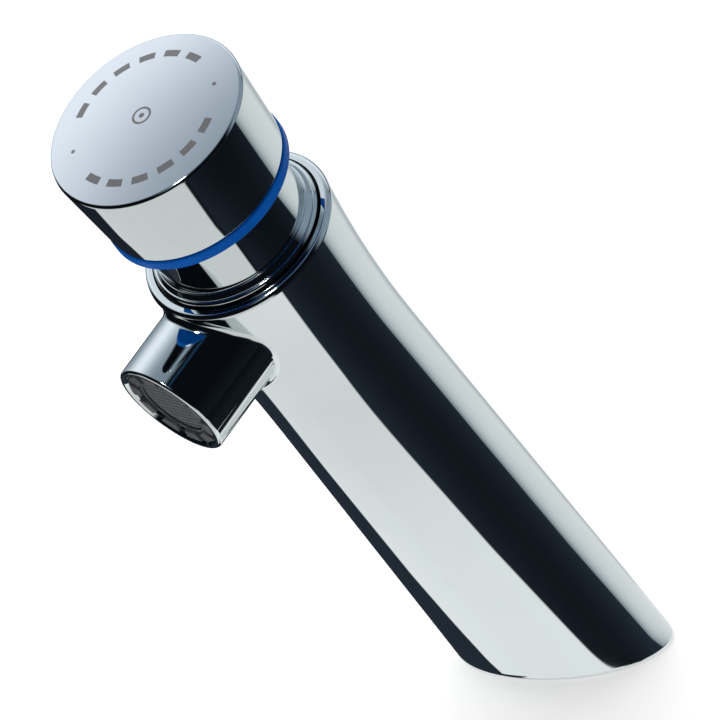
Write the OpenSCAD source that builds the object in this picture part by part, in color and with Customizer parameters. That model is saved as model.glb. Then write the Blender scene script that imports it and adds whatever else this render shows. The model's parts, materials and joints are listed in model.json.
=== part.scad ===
// Self-closing push tap for a basin deck.
// A leaning chromed body carries a short spout and a push button on a neck, and holds a timed cartridge.
// Millimetres, +Z up. The origin is the middle of the base, on the deck. The tap leans towards -Y.
// Stations named *_s are measured along the leaning axis from the origin, those named *_u along the spout.

/* [Body] */
// Lean of the body's axis from upright, in degrees
lean_angle = 40; // [34:1:44]
// Length of the body along its axis, from the base's middle to the rim
body_len = 169.5; // [160:0.5:190]
// Diameter at the base, measured square to the axis
base_d = 45; // [44:0.5:52]
// Diameter at the waist
waist_d = 41.8; // [40.6:0.1:44]
// Diameter at the rim
rim_d = 49; // [47.6:0.2:54]
// Length of the flare from the waist up to the rim
flare_len = 50; // [35:1:70]
// Rounding of the rim's outer edge
rim_round = 2; // [1:0.1:2.2]
// Diameter of the leaning bore of the lower body
chamber_d = 34; // [33:0.5:35]
// Depth of the cartridge pocket below the rim
pocket_depth = 52.5; // [50:0.5:58]
// Diameter of the cartridge pocket
pocket_d = 34.2; // [33.6:0.1:35.6]
// Thickness of the partition that carries the valve seat
partition_h = 12; // [11.5:0.5:16]

/* [Base] */
// Height of the inlet block that closes the foot of the body
block_h = 16; // [15.5:0.5:18]
// Wall diameter of the supply port, a G 1/2 thread drawn plain at its minor diameter
inlet_d = 18.6; // [14.9:0.1:19.2]
// Depth of the supply port's thread
inlet_depth = 12; // [10:0.5:12.5]
// Wall diameter of the fixing stud's hole, an M8 thread drawn plain at its minor diameter
stud_d = 6.8; // [5:0.1:7.4]
// Depth of the fixing stud's hole
stud_depth = 12; // [8:0.5:13]
// Distance from the supply port's axis forward to the stud hole
stud_offset = 16.5; // [15.5:0.25:17]
// Distance from the base's edge to the gasket, measured square to the axis
gasket_inset = 2.2; // [1.5:0.1:2.4]
// Width of the gasket
gasket_w = 2; // [1.4:0.1:2.2]
// Thickness of the gasket
gasket_h = 2; // [1:0.1:3]
// Diameter of the strainer's flange
strainer_d = 16; // [14.4:0.1:17]
// Thickness of the strainer's flange
strainer_h = 1.2; // [0.8:0.1:1.6]
// Height of the strainer's cup above its flange
strainer_cup_h = 2; // [1:0.1:3]
// Wall of the strainer's cup
strainer_wall = 1; // [0.6:0.1:1.4]
// Diameter of the waterway through the floor
inlet_way_d = 13.6; // [10:0.1:13.8]

/* [Spout] */
// Outside diameter of the spout
spout_d = 28.6; // [27:0.1:31]
// Distance from the rim down to the spout's axis
spout_drop = 16.5; // [15.5:0.5:20]
// Distance from the body's axis to the outlet face
spout_reach = 40.8; // [38:0.1:60]
// Wall diameter of the outlet thread that takes the aerator
outlet_d = 24; // [22:0.1:24.6]
// Depth of the outlet thread
outlet_depth = 14; // [13:0.5:15]
// Diameter of the waterway from the pocket to the outlet
waterway_d = 14; // [10:0.5:15]
// Width of the light chamfer inside the outlet's lip
lip_chamfer = 0.9; // [0.4:0.1:1]
// Rounding of the lip's outer edge
lip_round = 0.8; // [0.3:0.1:1]

/* [Aerator] */
// Distance from the outlet face back to the tips of the aerator's key teeth
aerator_recess = 0.3; // [0.2:0.1:1]
// Thickness of the washer behind the aerator
aerator_seal_h = 2; // [1:0.1:2.5]
// Width of the washer behind the aerator
aerator_seal_w = 4.4; // [2.5:0.1:4.6]
// Diameter of the flow-regulating and mixing parts
core_d = 18; // [17:0.1:18.6]
// Thickness of the flow regulator
regulator_h = 2.5; // [1.5:0.1:3]
// Thickness of the outlet screen
screen_h = 0.8; // [0.5:0.1:1.2]
// Thickness of the rim that keeps the screen in
screen_rim_h = 0.3; // [0.2:0.1:0.6]
// Width of the rim that keeps the screen in
screen_rim_w = 0.6; // [0.3:0.1:1]
// Height of the key teeth in front of that rim
tooth_h = 0.8; // [0.5:0.1:1.2]
// Number of key slots between the teeth
key_slots = 10; // [6:1:16]
// Width of a key slot
key_slot_w = 2.4; // [1:0.1:2.8]

/* [Head] */
// Diameter of the bright neck
neck_d = 39; // [38:0.2:40]
// Diameter of the rounded collar at the neck's foot
collar_d = 42.2; // [41:0.2:43]
// Height of the rounded collar
collar_h = 2.9; // [2:0.1:4]
// Rounding of the collar's edge
collar_round = 1.3; // [0.5:0.1:1.5]
// Diameter of the thin trim ring
trim_d = 43.4; // [42.8:0.1:44.2]
// Height of the thin trim ring
trim_h = 0.6; // [0.4:0.1:1]
// Chamfer at the top of the neck
neck_chamfer = 1; // [0.5:0.1:2]
// Length of the screwed spigot below the trim ring
spigot_h = 9; // [8:0.1:9.5]
// Height from the rim to the underside of the head's inner wall
head_bore_h = 12.5; // [12:0.5:14]
// Thickness of the head's inner wall
head_wall_h = 8; // [7:0.5:8.5]

/* [Button] */
// Diameter of the button's top
button_top_d = 50; // [48:0.5:56]
// Diameter of the button's foot
button_foot_d = 46.8; // [46.4:0.2:50]
// Height of the button
button_h = 23; // [22:0.2:30]
// Thickness of the button's top wall
button_roof = 4; // [3.5:0.1:5]
// Rounding of the button's top edge
button_round = 1; // [0.4:0.1:2]
// Diameter of the button's hollow
button_bore_d = 43; // [42:0.2:43.6]
// Gap from the rim to the underside of the coloured ring
button_gap = 18.8; // [17.5:0.1:24]
// Travel of the button
button_travel = 7; // [4:0.5:7.5]
// Free height left over the neck when the button is pressed
press_room = 3; // [2:0.5:4]
// Diameter of the coloured ring
ring_d = 47.4; // [46.8:0.2:50]
// Height of the coloured ring's visible band
ring_h = 2.7; // [2:0.1:4]
// Gap round the neck inside the coloured ring
ring_clear = 0.7; // [0.4:0.1:0.9]
// Height of the spigot that holds the coloured ring in the button
ring_spigot_h = 3; // [2:0.1:5]
// Diameter of the boss under the button's top
boss_d = 16; // [14:0.5:18]
// Height of the boss under the button's top
boss_h = 6; // [4:0.5:6]
// Depth of the stem's thread in the button
stem_grip = 7.5; // [6:0.1:8]
// Width across flats of the lock nut
lock_nut_af = 13; // [12:0.5:16]
// Height of the lock nut
lock_nut_h = 4; // [3:0.1:4.5]

/* [Cartridge] */
// Diameter of the stem
stem_d = 8; // [7:0.1:8.2]
// Diameter of the valve end of the stem
valve_stem_d = 6; // [5:0.1:6.4]
// Outside diameter of the timing tube
tube_d = 26; // [25:0.1:27]
// Bore of the timing cylinder
timing_bore_d = 21; // [20.4:0.1:22]
// Bore of the flow chamber under the timing cylinder
flow_bore_d = 16; // [14:0.1:16.4]
// Height of the flow chamber above the pocket's floor
flow_h = 22; // [18:0.5:23]
// Thickness of the web that closes the timing cylinder
web_h = 3; // [2:0.1:4]
// Diameter of the tube's nose
nose_d = 23.8; // [23:0.1:25]
// Length of the tube's nose below the pocket's floor
nose_h = 11; // [10:0.1:11.4]
// Diameter of the shoulder that sits on the pocket's floor
shoulder_d = 29; // [27.6:0.1:31]
// Thickness of the shoulder
shoulder_h = 2.5; // [1.5:0.1:3]
// Bore of the valve seat
seat_bore_d = 12; // [10:0.1:13]
// Thickness of the valve seat
seat_h = 4; // [3:0.1:4.4]
// Number of outlet windows in the tube
windows = 4; // [3:1:6]
// Width of an outlet window
window_w = 6; // [4:0.1:7]
// Height of an outlet window
window_h = 11; // [8:0.1:12]
// Diameter of the timing jet
jet_d = 2.4; // [1.8:0.1:2.6]
// Distance from the axis to the timing jet
jet_offset = 5.3; // [5.1:0.05:5.5]

/* [Valve] */
// Diameter of the valve washer
washer_d = 17; // [15.4:0.1:19]
// Thickness of the valve washer
washer_h = 3.5; // [2:0.1:4]
// Diameter of the disc that backs the washer
holder_d = 18; // [16:0.1:20]
// Thickness of the disc that backs the washer
holder_h = 3; // [2:0.1:4]
// Width across flats of the valve nut
valve_nut_af = 10; // [9:0.5:12]
// Height of the valve nut
valve_nut_h = 4.5; // [3:0.1:5]
// Length of the stem that shows below the valve nut
stem_tail = 1.5; // [0.5:0.1:3]

/* [Piston and spring] */
// Length of the spring at rest
spring_len = 22.5; // [20:0.5:23.5]
// Wire diameter of the spring
wire_d = 1.6; // [1.2:0.1:1.8]
// Coil diameter of the spring, at the wire's middle
coil_d = 15; // [14:0.1:16]
// Turns of the spring
turns = 6.5; // [4:0.5:7]
// Diameter of the thrust washer
thrust_d = 19; // [18:0.1:20]
// Thickness of the thrust washer
thrust_h = 1.5; // [1:0.1:2]
// Thickness of the piston's retaining ring
clip_h = 1; // [0.6:0.1:1.4]
// Diameter of the piston's retaining ring
clip_d = 12.4; // [11:0.1:14]
// Depth of the retaining ring's groove in the stem
clip_groove = 0.6; // [0.4:0.1:0.9]
// Length of the thick stem below the thrust washer
spring_grip = 6.5; // [3:0.5:8]
// Height of the piston's cup seal
cup_h = 4; // [3:0.1:4.5]
// Thickness of the cup seal's lip
cup_lip = 1; // [0.6:0.1:1.4]
// Depth of the hollow behind the cup seal's lip
cup_hollow = 2.4; // [1.5:0.1:2.6]
// Height of the piston
piston_h = 5; // [4:0.1:5.5]
// Diameter of the stem's shoulder above the piston
stop_d = 13; // [11:0.1:15]
// Height of the stem's shoulder
stop_h = 2.5; // [1.5:0.1:3]

/* [Seals and clearances] */
// Section of the body and nose O-rings
seal_section = 2.2; // [1.6:0.1:2.3]
// Section of the stem's O-ring
stem_seal_section = 2.6; // [2:0.1:2.8]
// Thickness of the washer that keeps the stem's O-ring in
retainer_h = 1.5; // [1:0.1:2]
// Diameter of the guide bush's flange
bush_flange_d = 18; // [16:0.2:22]
// Thickness of the guide bush's flange
bush_flange_h = 1.2; // [0.8:0.1:1.5]
// Radial clearance of pieces that are screwed or pushed together
fit_gap = 0.1; // [0.06:0.01:0.15]
// Radial clearance of pieces that slide or turn in one another
run_gap = 0.05; // [0.02:0.01:0.1]
// Radial clearance round an O-ring
seal_gap = 0.05; // [0.02:0.01:0.1]

/* [Hidden] */
$fn = 96;

chrome = [0.80, 0.83, 0.85];
brass = [0.80, 0.66, 0.36];
steel = [0.66, 0.68, 0.70];
blue = [0.05, 0.27, 0.62];
grey = [0.58, 0.60, 0.62];
white = [0.88, 0.88, 0.86];
black = [0.08, 0.08, 0.08];

// a little more than nothing, so that a cut runs clear of the face it starts from
over = 1;

// body stations along the axis
waist_s = body_len - flare_len;
rim_edge_s = body_len - rim_round;
spout_s = body_len - spout_drop;
pocket_s = body_len - pocket_depth;
partition_s = pocket_s - partition_h;
foot_s = -base_d;
flare_rise = rim_edge_s - waist_s;
flare_grow = (rim_d - waist_d) / 2;
flare_r = (flare_rise * flare_rise + flare_grow * flare_grow) / (2 * flare_grow);
taper = (base_d - waist_d) / 2 / waist_s;
seat_way_d = nose_d + 2 * fit_gap;

// base, gasket and strainer
gasket_r = base_d / 2 - gasket_inset;

// spout and aerator stations along the spout
outlet_u = spout_reach - outlet_depth;
ring_face_u = spout_reach - aerator_recess;
ring_back_u = outlet_u + aerator_seal_h;
rim_front_u = ring_face_u - tooth_h;
screen_front_u = rim_front_u - screen_rim_h;
screen_back_u = screen_front_u - screen_h;
core_back_u = ring_back_u + regulator_h;
ring_bore_d = core_d + 2 * fit_gap;
screen_open_d = core_d - 2 * screen_rim_w;

// head stations
collar_s = body_len + trim_h;
collar_top_s = collar_s + collar_h;
spigot_s = body_len - spigot_h;
head_roof_s = body_len + head_bore_h;
head_floor_s = head_roof_s + head_wall_h;
head_bore_d = tube_d + 2 * fit_gap;
gland_d = stem_d + 2 * stem_seal_section + 4 * seal_gap;
head_groove_s = body_len - spigot_h / 2;

// button stations
ring_s = body_len + button_gap;
button_s = ring_s + ring_h;
button_top_s = button_s + button_h;
roof_s = button_top_s - button_roof;
boss_s = roof_s - boss_h;
neck_top_s = roof_s - button_travel - press_room;
stem_top_s = boss_s + stem_grip;
colour_bore_d = neck_d + 2 * ring_clear;

// cartridge stations
nose_s = pocket_s - nose_h;
web_s = pocket_s + flow_h;
web_top_s = web_s + web_h;
tube_top_s = head_roof_s - retainer_h;
nose_groove_s = pocket_s - nose_h / 2;
window_s = (pocket_s + shoulder_h + web_s) / 2;

// moving stack, from the valve up
washer_s = nose_s - washer_h;
holder_s = washer_s - holder_h;
valve_nut_s = holder_s - valve_nut_h;
stem_foot_s = valve_nut_s - stem_tail;
thrust_s = web_top_s + spring_len;
clip_s = thrust_s + thrust_h;
cup_s = clip_s + clip_h;
piston_s = cup_s + cup_h;
stop_s = piston_s + piston_h;
stem_step_s = thrust_s - spring_grip;
clip_groove_d = stem_d - 2 * clip_groove;
piston_d = timing_bore_d - 2 * run_gap;

// Stand the children on the leaning axis
module on_axis(s = 0) {
    rotate([lean_angle, 0, 0])
        translate([0, 0, s])
            children();
}

// Stand the children on the spout's axis, pointing out of the outlet
module on_spout(u = 0) {
    on_axis(spout_s)
        rotate([90, 0, 0])
            translate([0, 0, u])
                children();
}

// Plain ring from height 0 to h
module ring(d_out, d_in, h) {
    rotate_extrude()
        translate([d_in / 2, 0])
            square([(d_out - d_in) / 2, h]);
}

// Ring of round section whose outside touches the bore it seals, less its clearance
module o_ring_in(bore_d, section) {
    rotate_extrude()
        translate([bore_d / 2 - seal_gap - section / 2, 0])
            circle(d = section, $fn = 32);
}

// Groove that leaves the same clearance behind an O-ring
module groove_in(bore_d, section) {
    translate([0, 0, -section / 2 - seal_gap])
        ring(bore_d + 2 * over, bore_d - 2 * section - 4 * seal_gap, section + 2 * seal_gap);
}

// Hexagon nut from height 0 to h
module hex_nut(af, bore_d, h) {
    difference() {
        cylinder(d = af / cos(30), h = h, $fn = 6);
        translate([0, 0, -over])
            cylinder(d = bore_d, h = h + 2 * over);
    }
}

// Quarter round from the side at (r, s - round) to the top at (r - round, s)
function edge_round(r, s, round, n = 6) =
    [for (i = [0 : n]) [r - round + round * cos(90 * i / n), s - round + round * sin(90 * i / n)]];

// Radius of the flare at a station
function flare_at(s) = waist_d / 2 + flare_r - sqrt(flare_r * flare_r - (s - waist_s) * (s - waist_s));

// Outline of the body's turned outside
function body_outline(n = 14) = concat(
    [[0, foot_s], [base_d / 2 - taper * foot_s, foot_s]],
    [for (i = [0 : n - 1]) let (s = waist_s + flare_rise * i / n) [flare_at(s), s]],
    edge_round(rim_d / 2, body_len, rim_round),
    [[0, body_len]]
);

// Spout's outside, from the axis to the rounded lip
module spout_outside() {
    rotate_extrude()
        polygon(concat([[0, 0], [spout_d / 2, 0]], edge_round(spout_d / 2, spout_reach, lip_round, 4),
            [[0, spout_reach]]));
}

// Space behind the base's plane
module below_deck() {
    translate([-2 * base_d, -2 * base_d, -4 * base_d])
        cube(4 * base_d);
}

// Layer of the leaning tube that holds the gasket, from the deck up
module gasket_layer(grow) {
    intersection() {
        on_axis(-base_d)
            ring(2 * (gasket_r + grow), 2 * (gasket_r - gasket_w - grow), 2 * base_d);
        translate([-base_d, -base_d, 0])
            cube([2 * base_d, 2 * base_d, gasket_h]);
    }
}

// Leaning bore of the lower body, from below the deck up to the partition
module water_chamber() {
    on_axis(-base_d)
        cylinder(d = chamber_d, h = partition_s + base_d);
}

// Cartridge pocket, and the way through the partition
module cartridge_pocket() {
    on_axis(pocket_s)
        cylinder(d = pocket_d, h = pocket_depth + over);
    on_axis(partition_s - over)
        cylinder(d = seat_way_d, h = partition_h + 2 * over);
}

// Outlet thread with its chamfered lip, and the way to the pocket
module outlet_way() {
    on_spout(pocket_d / 4)
        cylinder(d = waterway_d, h = outlet_u);
    on_spout(outlet_u)
        cylinder(d = outlet_d, h = outlet_depth + over);
    on_spout(spout_reach - lip_chamfer)
        cylinder(d1 = outlet_d, d2 = outlet_d + 4 * lip_chamfer, h = 2 * lip_chamfer);
}

// Supply port, strainer seat and fixing stud's hole
module base_holes() {
    translate([0, 0, -over])
        cylinder(d = inlet_d, h = inlet_depth + over);
    translate([0, 0, inlet_depth - over])
        cylinder(d = strainer_d, h = strainer_h + over);
    translate([0, 0, inlet_depth])
        cylinder(d = inlet_way_d, h = block_h - inlet_depth + over);
    translate([0, -stud_offset, -over])
        cylinder(d = stud_d, h = stud_depth + over);
}

module body() {
    color(chrome)
        difference() {
            union() {
                on_axis()
                    rotate_extrude()
                        polygon(body_outline());
                on_spout()
                    spout_outside();
            }
            below_deck();
            water_chamber();
            cartridge_pocket();
            outlet_way();
            gasket_layer(fit_gap);
        }
}

module inlet_block() {
    color(brass)
        difference() {
            intersection() {
                on_axis(-base_d)
                    cylinder(d = chamber_d - 2 * fit_gap, h = 3 * base_d);
                translate([-base_d, -2 * base_d, 0])
                    cube([2 * base_d, 4 * base_d, block_h]);
            }
            base_holes();
        }
}

module base_gasket() {
    color(black)
        gasket_layer(0);
}

module inlet_strainer() {
    flange_d = strainer_d - 2 * fit_gap;
    cup_d = inlet_way_d - 2 * fit_gap;
    color(steel)
        translate([0, 0, inlet_depth])
            difference() {
                union() {
                    cylinder(d = flange_d, h = strainer_h);
                    cylinder(d = cup_d, h = strainer_h + strainer_cup_h);
                }
                translate([0, 0, -over])
                    cylinder(d = cup_d - 2 * strainer_wall, h = strainer_h + strainer_cup_h - strainer_wall + over);
            }
}

// Outline of the head's outside, from the spigot up to the neck's end
function head_outline() = concat(
    [[head_bore_d / 2, spigot_s], [pocket_d / 2 - fit_gap, spigot_s]],
    [[pocket_d / 2 - fit_gap, collar_s], [collar_d / 2, collar_s]],
    edge_round(collar_d / 2, collar_top_s, collar_round),
    [[neck_d / 2, collar_top_s], [neck_d / 2, neck_top_s - neck_chamfer]],
    [[neck_d / 2 - neck_chamfer, neck_top_s]],
    [[head_bore_d / 2, neck_top_s]]
);

module head() {
    color(chrome)
        on_axis()
            difference() {
                union() {
                    rotate_extrude()
                        polygon(head_outline());
                    translate([0, 0, head_roof_s])
                        cylinder(d = head_bore_d + over, h = head_wall_h);
                }
                translate([0, 0, head_roof_s - over])
                    cylinder(d = gland_d, h = head_wall_h + 2 * over);
                translate([0, 0, head_groove_s])
                    groove_in(pocket_d, seal_section);
            }
}

module trim_ring() {
    color(chrome)
        on_axis(body_len)
            ring(trim_d, pocket_d, trim_h);
}

module head_seal() {
    color(black)
        on_axis(head_groove_s)
            o_ring_in(pocket_d, seal_section);
}

module cartridge_tube() {
    color(brass)
        on_axis()
            difference() {
                union() {
                    translate([0, 0, nose_s])
                        cylinder(d = nose_d, h = nose_h + over);
                    translate([0, 0, pocket_s])
                        cylinder(d = shoulder_d, h = shoulder_h);
                    translate([0, 0, pocket_s])
                        cylinder(d = tube_d, h = tube_top_s - pocket_s);
                }
                translate([0, 0, web_top_s])
                    cylinder(d = timing_bore_d, h = tube_top_s - web_top_s + over);
                translate([0, 0, nose_s + seat_h])
                    cylinder(d = flow_bore_d, h = web_s - nose_s - seat_h);
                translate([0, 0, nose_s - over])
                    cylinder(d = seat_bore_d, h = seat_h + 2 * over);
                translate([0, 0, web_s - over])
                    cylinder(d = valve_stem_d + 2 * run_gap, h = web_h + 2 * over);
                translate([jet_offset, 0, web_s - over])
                    cylinder(d = jet_d + 2 * fit_gap, h = web_h + 2 * over, $fn = 24);
                translate([0, 0, nose_groove_s])
                    groove_in(seat_way_d, seal_section);
                for (i = [0 : windows - 1])
                    rotate([0, 0, 360 * (i + 0.5) / windows])
                        translate([0, -window_w / 2, window_s - window_h / 2])
                            cube([tube_d, window_w, window_h]);
            }
}

module nose_seal() {
    color(black)
        on_axis(nose_groove_s)
            o_ring_in(seat_way_d, seal_section);
}

module timing_jet() {
    color(steel)
        on_axis(web_s)
            translate([jet_offset, 0, 0])
                difference() {
                    cylinder(d = jet_d, h = web_h, $fn = 24);
                    translate([0, 0, -over])
                        cylinder(d = jet_d / 4, h = web_h + 2 * over, $fn = 24);
                }
}

module seal_retainer() {
    color(brass)
        on_axis(tube_top_s)
            ring(tube_d, stem_d + 6 * run_gap, retainer_h);
}

module stem_seal() {
    color(black)
        on_axis(head_roof_s + stem_seal_section / 2)
            o_ring_in(gland_d, stem_seal_section);
}

module guide_bush() {
    bush_s = head_roof_s + stem_seal_section + 4 * seal_gap;
    color(white)
        on_axis() {
            translate([0, 0, bush_s])
                ring(gland_d - 2 * fit_gap, stem_d + 2 * run_gap, head_floor_s - bush_s);
            translate([0, 0, head_floor_s])
                ring(bush_flange_d, stem_d + 2 * run_gap, bush_flange_h);
        }
}

module aerator_seal() {
    color(black)
        on_spout(outlet_u)
            ring(outlet_d - 2 * fit_gap, outlet_d - 2 * fit_gap - 2 * aerator_seal_w, aerator_seal_h);
}

module flow_regulator() {
    color(white)
        on_spout(ring_back_u)
            difference() {
                cylinder(d = core_d, h = regulator_h);
                for (a = [0 : 60 : 300])
                    rotate([0, 0, a])
                        translate([core_d / 4, 0, -over])
                            cylinder(d = core_d / 9, h = regulator_h + 2 * over, $fn = 24);
            }
}

module aerator_core() {
    core_h = screen_back_u - core_back_u;
    color(white)
        on_spout(core_back_u)
            difference() {
                cylinder(d = core_d, h = core_h);
                for (a = [0 : 45 : 315])
                    rotate([0, 0, a])
                        translate([core_d / 3, 0, -over])
                            cylinder(d = core_d / 7, h = core_h + 2 * over, $fn = 24);
            }
}

module aerator_screen() {
    color(steel)
        on_spout(screen_back_u)
            cylinder(d = core_d, h = screen_h);
}

module aerator_ring() {
    ring_out_d = outlet_d - 2 * fit_gap;
    color(grey)
        on_spout()
            difference() {
                translate([0, 0, ring_back_u])
                    cylinder(d = ring_out_d, h = ring_face_u - ring_back_u);
                translate([0, 0, ring_back_u - over])
                    cylinder(d = ring_bore_d, h = screen_front_u - ring_back_u + over);
                translate([0, 0, screen_front_u - over])
                    cylinder(d = screen_open_d, h = screen_rim_h + 2 * over);
                translate([0, 0, rim_front_u])
                    cylinder(d = ring_bore_d, h = tooth_h + over);
                for (i = [0 : key_slots - 1])
                    rotate([0, 0, 360 * (i + 0.5) / key_slots])
                        translate([0, -key_slot_w / 2, rim_front_u])
                            cube([ring_out_d, key_slot_w, tooth_h + over]);
            }
}

// Spring wire as one closed tube that follows the coil
ring_sides = 6;
rings_per_turn = 8;
coil_rings = round(turns * rings_per_turn);
coil_rise = spring_len - wire_d;
coil_tilt = atan(coil_rise / (turns * PI * coil_d));

function coil_point(i, k) =
    let (
        a = 360 * turns * i / coil_rings,
        b = 360 * k / ring_sides,
        out = wire_d / 2 * cos(b),
        lift = wire_d / 2 * sin(b),
        r = coil_d / 2 + out
    )
    [
        r * cos(a) + lift * sin(coil_tilt) * sin(a),
        r * sin(a) - lift * sin(coil_tilt) * cos(a),
        wire_d / 2 + coil_rise * i / coil_rings + lift * cos(coil_tilt)
    ];

module return_spring() {
    points = [for (i = [0 : coil_rings]) for (k = [0 : ring_sides - 1]) coil_point(i, k)];
    sides = [
        for (i = [0 : coil_rings - 1]) for (k = [0 : ring_sides - 1])
            let (n = (k + 1) % ring_sides, a = i * ring_sides, b = (i + 1) * ring_sides)
            each [[a + k, b + n, a + n], [a + k, b + k, b + n]]
    ];
    first = [for (k = [0 : ring_sides - 1]) k];
    last = [for (k = [ring_sides - 1 : -1 : 0]) coil_rings * ring_sides + k];
    color(steel)
        on_axis(web_top_s)
            polyhedron(points = points, faces = concat(sides, [first, last]));
}

module thrust_washer() {
    color(steel)
        on_axis(thrust_s)
            ring(thrust_d, stem_d + 6 * run_gap, thrust_h);
}

// Outline of the button's outside, from its foot up
function button_outline() = concat(
    [[0, button_s], [button_foot_d / 2, button_s]],
    edge_round(button_top_d / 2, button_top_s, button_round),
    [[0, button_top_s]]
);

module button() {
    color(chrome)
        on_axis()
            difference() {
                rotate_extrude()
                    polygon(button_outline());
                difference() {
                    translate([0, 0, button_s - over])
                        cylinder(d = button_bore_d, h = roof_s - button_s + over);
                    translate([0, 0, boss_s])
                        cylinder(d = boss_d, h = boss_h + over);
                }
                translate([0, 0, boss_s - over])
                    cylinder(d = stem_d + 2 * fit_gap, h = stem_grip + over);
            }
}

module colour_ring() {
    color(blue)
        on_axis(ring_s) {
            ring(ring_d, colour_bore_d, ring_h);
            ring(button_bore_d - 2 * fit_gap, colour_bore_d, ring_h + ring_spigot_h);
        }
}

module lock_nut() {
    color(steel)
        on_axis(boss_s - lock_nut_h)
            hex_nut(lock_nut_af, stem_d + 2 * fit_gap, lock_nut_h);
}

module stem() {
    color(brass)
        on_axis()
            difference() {
                union() {
                    translate([0, 0, stem_foot_s])
                        cylinder(d = valve_stem_d, h = stem_step_s - stem_foot_s + over);
                    translate([0, 0, stem_step_s])
                        cylinder(d = stem_d, h = stem_top_s - stem_step_s);
                    translate([0, 0, stop_s])
                        cylinder(d = stop_d, h = stop_h);
                }
                translate([0, 0, clip_s])
                    ring(stem_d + over, clip_groove_d, clip_h);
            }
}

module piston() {
    color(white)
        on_axis(piston_s)
            ring(piston_d, stem_d + 2 * fit_gap, piston_h);
}

module piston_seal() {
    color(black)
        on_axis(cup_s)
            difference() {
                ring(piston_d, stem_d + 2 * fit_gap, cup_h);
                translate([0, 0, -over])
                    ring(piston_d - 2 * cup_lip, clip_d + 2 * fit_gap, cup_hollow + over);
            }
}

module piston_clip() {
    color(steel)
        on_axis(clip_s)
            difference() {
                ring(clip_d, clip_groove_d + 2 * fit_gap, clip_h);
                translate([0, -clip_groove_d / 4, -over])
                    cube([clip_d, clip_groove_d / 2, clip_h + 2 * over]);
            }
}

module valve_washer() {
    color(black)
        on_axis(washer_s)
            ring(washer_d, valve_stem_d + 2 * fit_gap, washer_h);
}

module valve_holder() {
    color(brass)
        on_axis(holder_s)
            ring(holder_d, valve_stem_d + 2 * fit_gap, holder_h);
}

module valve_nut() {
    color(steel)
        on_axis(valve_nut_s)
            hex_nut(valve_nut_af, valve_stem_d + 2 * fit_gap, valve_nut_h);
}

body();
inlet_block();
base_gasket();
inlet_strainer();
head();
trim_ring();
head_seal();
cartridge_tube();
nose_seal();
timing_jet();
seal_retainer();
stem_seal();
guide_bush();
aerator_seal();
flow_regulator();
aerator_core();
aerator_screen();
aerator_ring();
return_spring();
thrust_washer();
button();
colour_ring();
lock_nut();
stem();
piston();
piston_seal();
piston_clip();
valve_washer();
valve_holder();
valve_nut();
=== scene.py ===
"""Dresses the solids of a leaning push tap with plated skins, an outlet, finishes and a studio."""
import json
import math

import bpy
import numpy as np
from bpy.props import FloatProperty, FloatVectorProperty, IntProperty, PointerProperty
from mathutils import Matrix, Vector


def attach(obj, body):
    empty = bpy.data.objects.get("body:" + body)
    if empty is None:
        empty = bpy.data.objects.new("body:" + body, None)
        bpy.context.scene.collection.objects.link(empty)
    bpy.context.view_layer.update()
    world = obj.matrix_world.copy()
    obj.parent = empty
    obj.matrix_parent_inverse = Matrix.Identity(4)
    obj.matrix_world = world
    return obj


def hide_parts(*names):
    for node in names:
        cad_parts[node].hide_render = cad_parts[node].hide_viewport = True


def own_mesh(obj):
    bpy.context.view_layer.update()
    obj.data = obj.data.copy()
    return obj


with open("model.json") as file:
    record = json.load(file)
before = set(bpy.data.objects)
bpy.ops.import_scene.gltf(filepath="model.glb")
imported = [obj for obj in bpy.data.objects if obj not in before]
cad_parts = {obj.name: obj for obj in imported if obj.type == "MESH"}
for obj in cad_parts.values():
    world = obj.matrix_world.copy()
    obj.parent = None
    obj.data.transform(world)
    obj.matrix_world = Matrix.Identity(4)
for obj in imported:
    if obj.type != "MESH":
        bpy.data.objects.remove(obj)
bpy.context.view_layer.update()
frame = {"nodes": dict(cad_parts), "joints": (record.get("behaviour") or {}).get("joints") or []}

bl_info = {
    "name": "Push tap dressing",
    "version": (1, 0, 0),
    "blender": (4, 5, 0),
    "location": "View3D > Sidebar > Tap",
    "description": "Plated skins, outlet, finishes and studio of a leaning push tap",
    "category": "Object",
}

# The tap's own directions: up its leaning axis, out along its spout, and across it
PRESS = next(j for j in frame["joints"] if j["name"] == "button_press")
UP = -np.array(PRESS["axis"], float)
UP /= np.linalg.norm(UP)
ACROSS = np.array([1.0, 0.0, 0.0])
OUT = np.cross(ACROSS, UP)
LEAN = math.acos(UP[2])
FLOOR_DOWN = np.array([0.0, 0.0, -1.0])
MM = 0.001


def length(name, description, default, low=0.0):
    """A size in metres that a user may change, given in millimetres."""
    return FloatProperty(name=name, description=description, default=default * MM, min=low, precision=5,
                         subtype="DISTANCE", unit="LENGTH")


def angle_of(name, description, default):
    """An angle that a user may change, given in degrees."""
    return FloatProperty(name=name, description=description, default=math.radians(default), subtype="ANGLE",
                         unit="ROTATION")


def tint(name, description, default):
    """A colour that a user may change."""
    return FloatVectorProperty(name=name, description=description, default=default, size=3, min=0.0, max=1.0,
                               subtype="COLOR")


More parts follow.
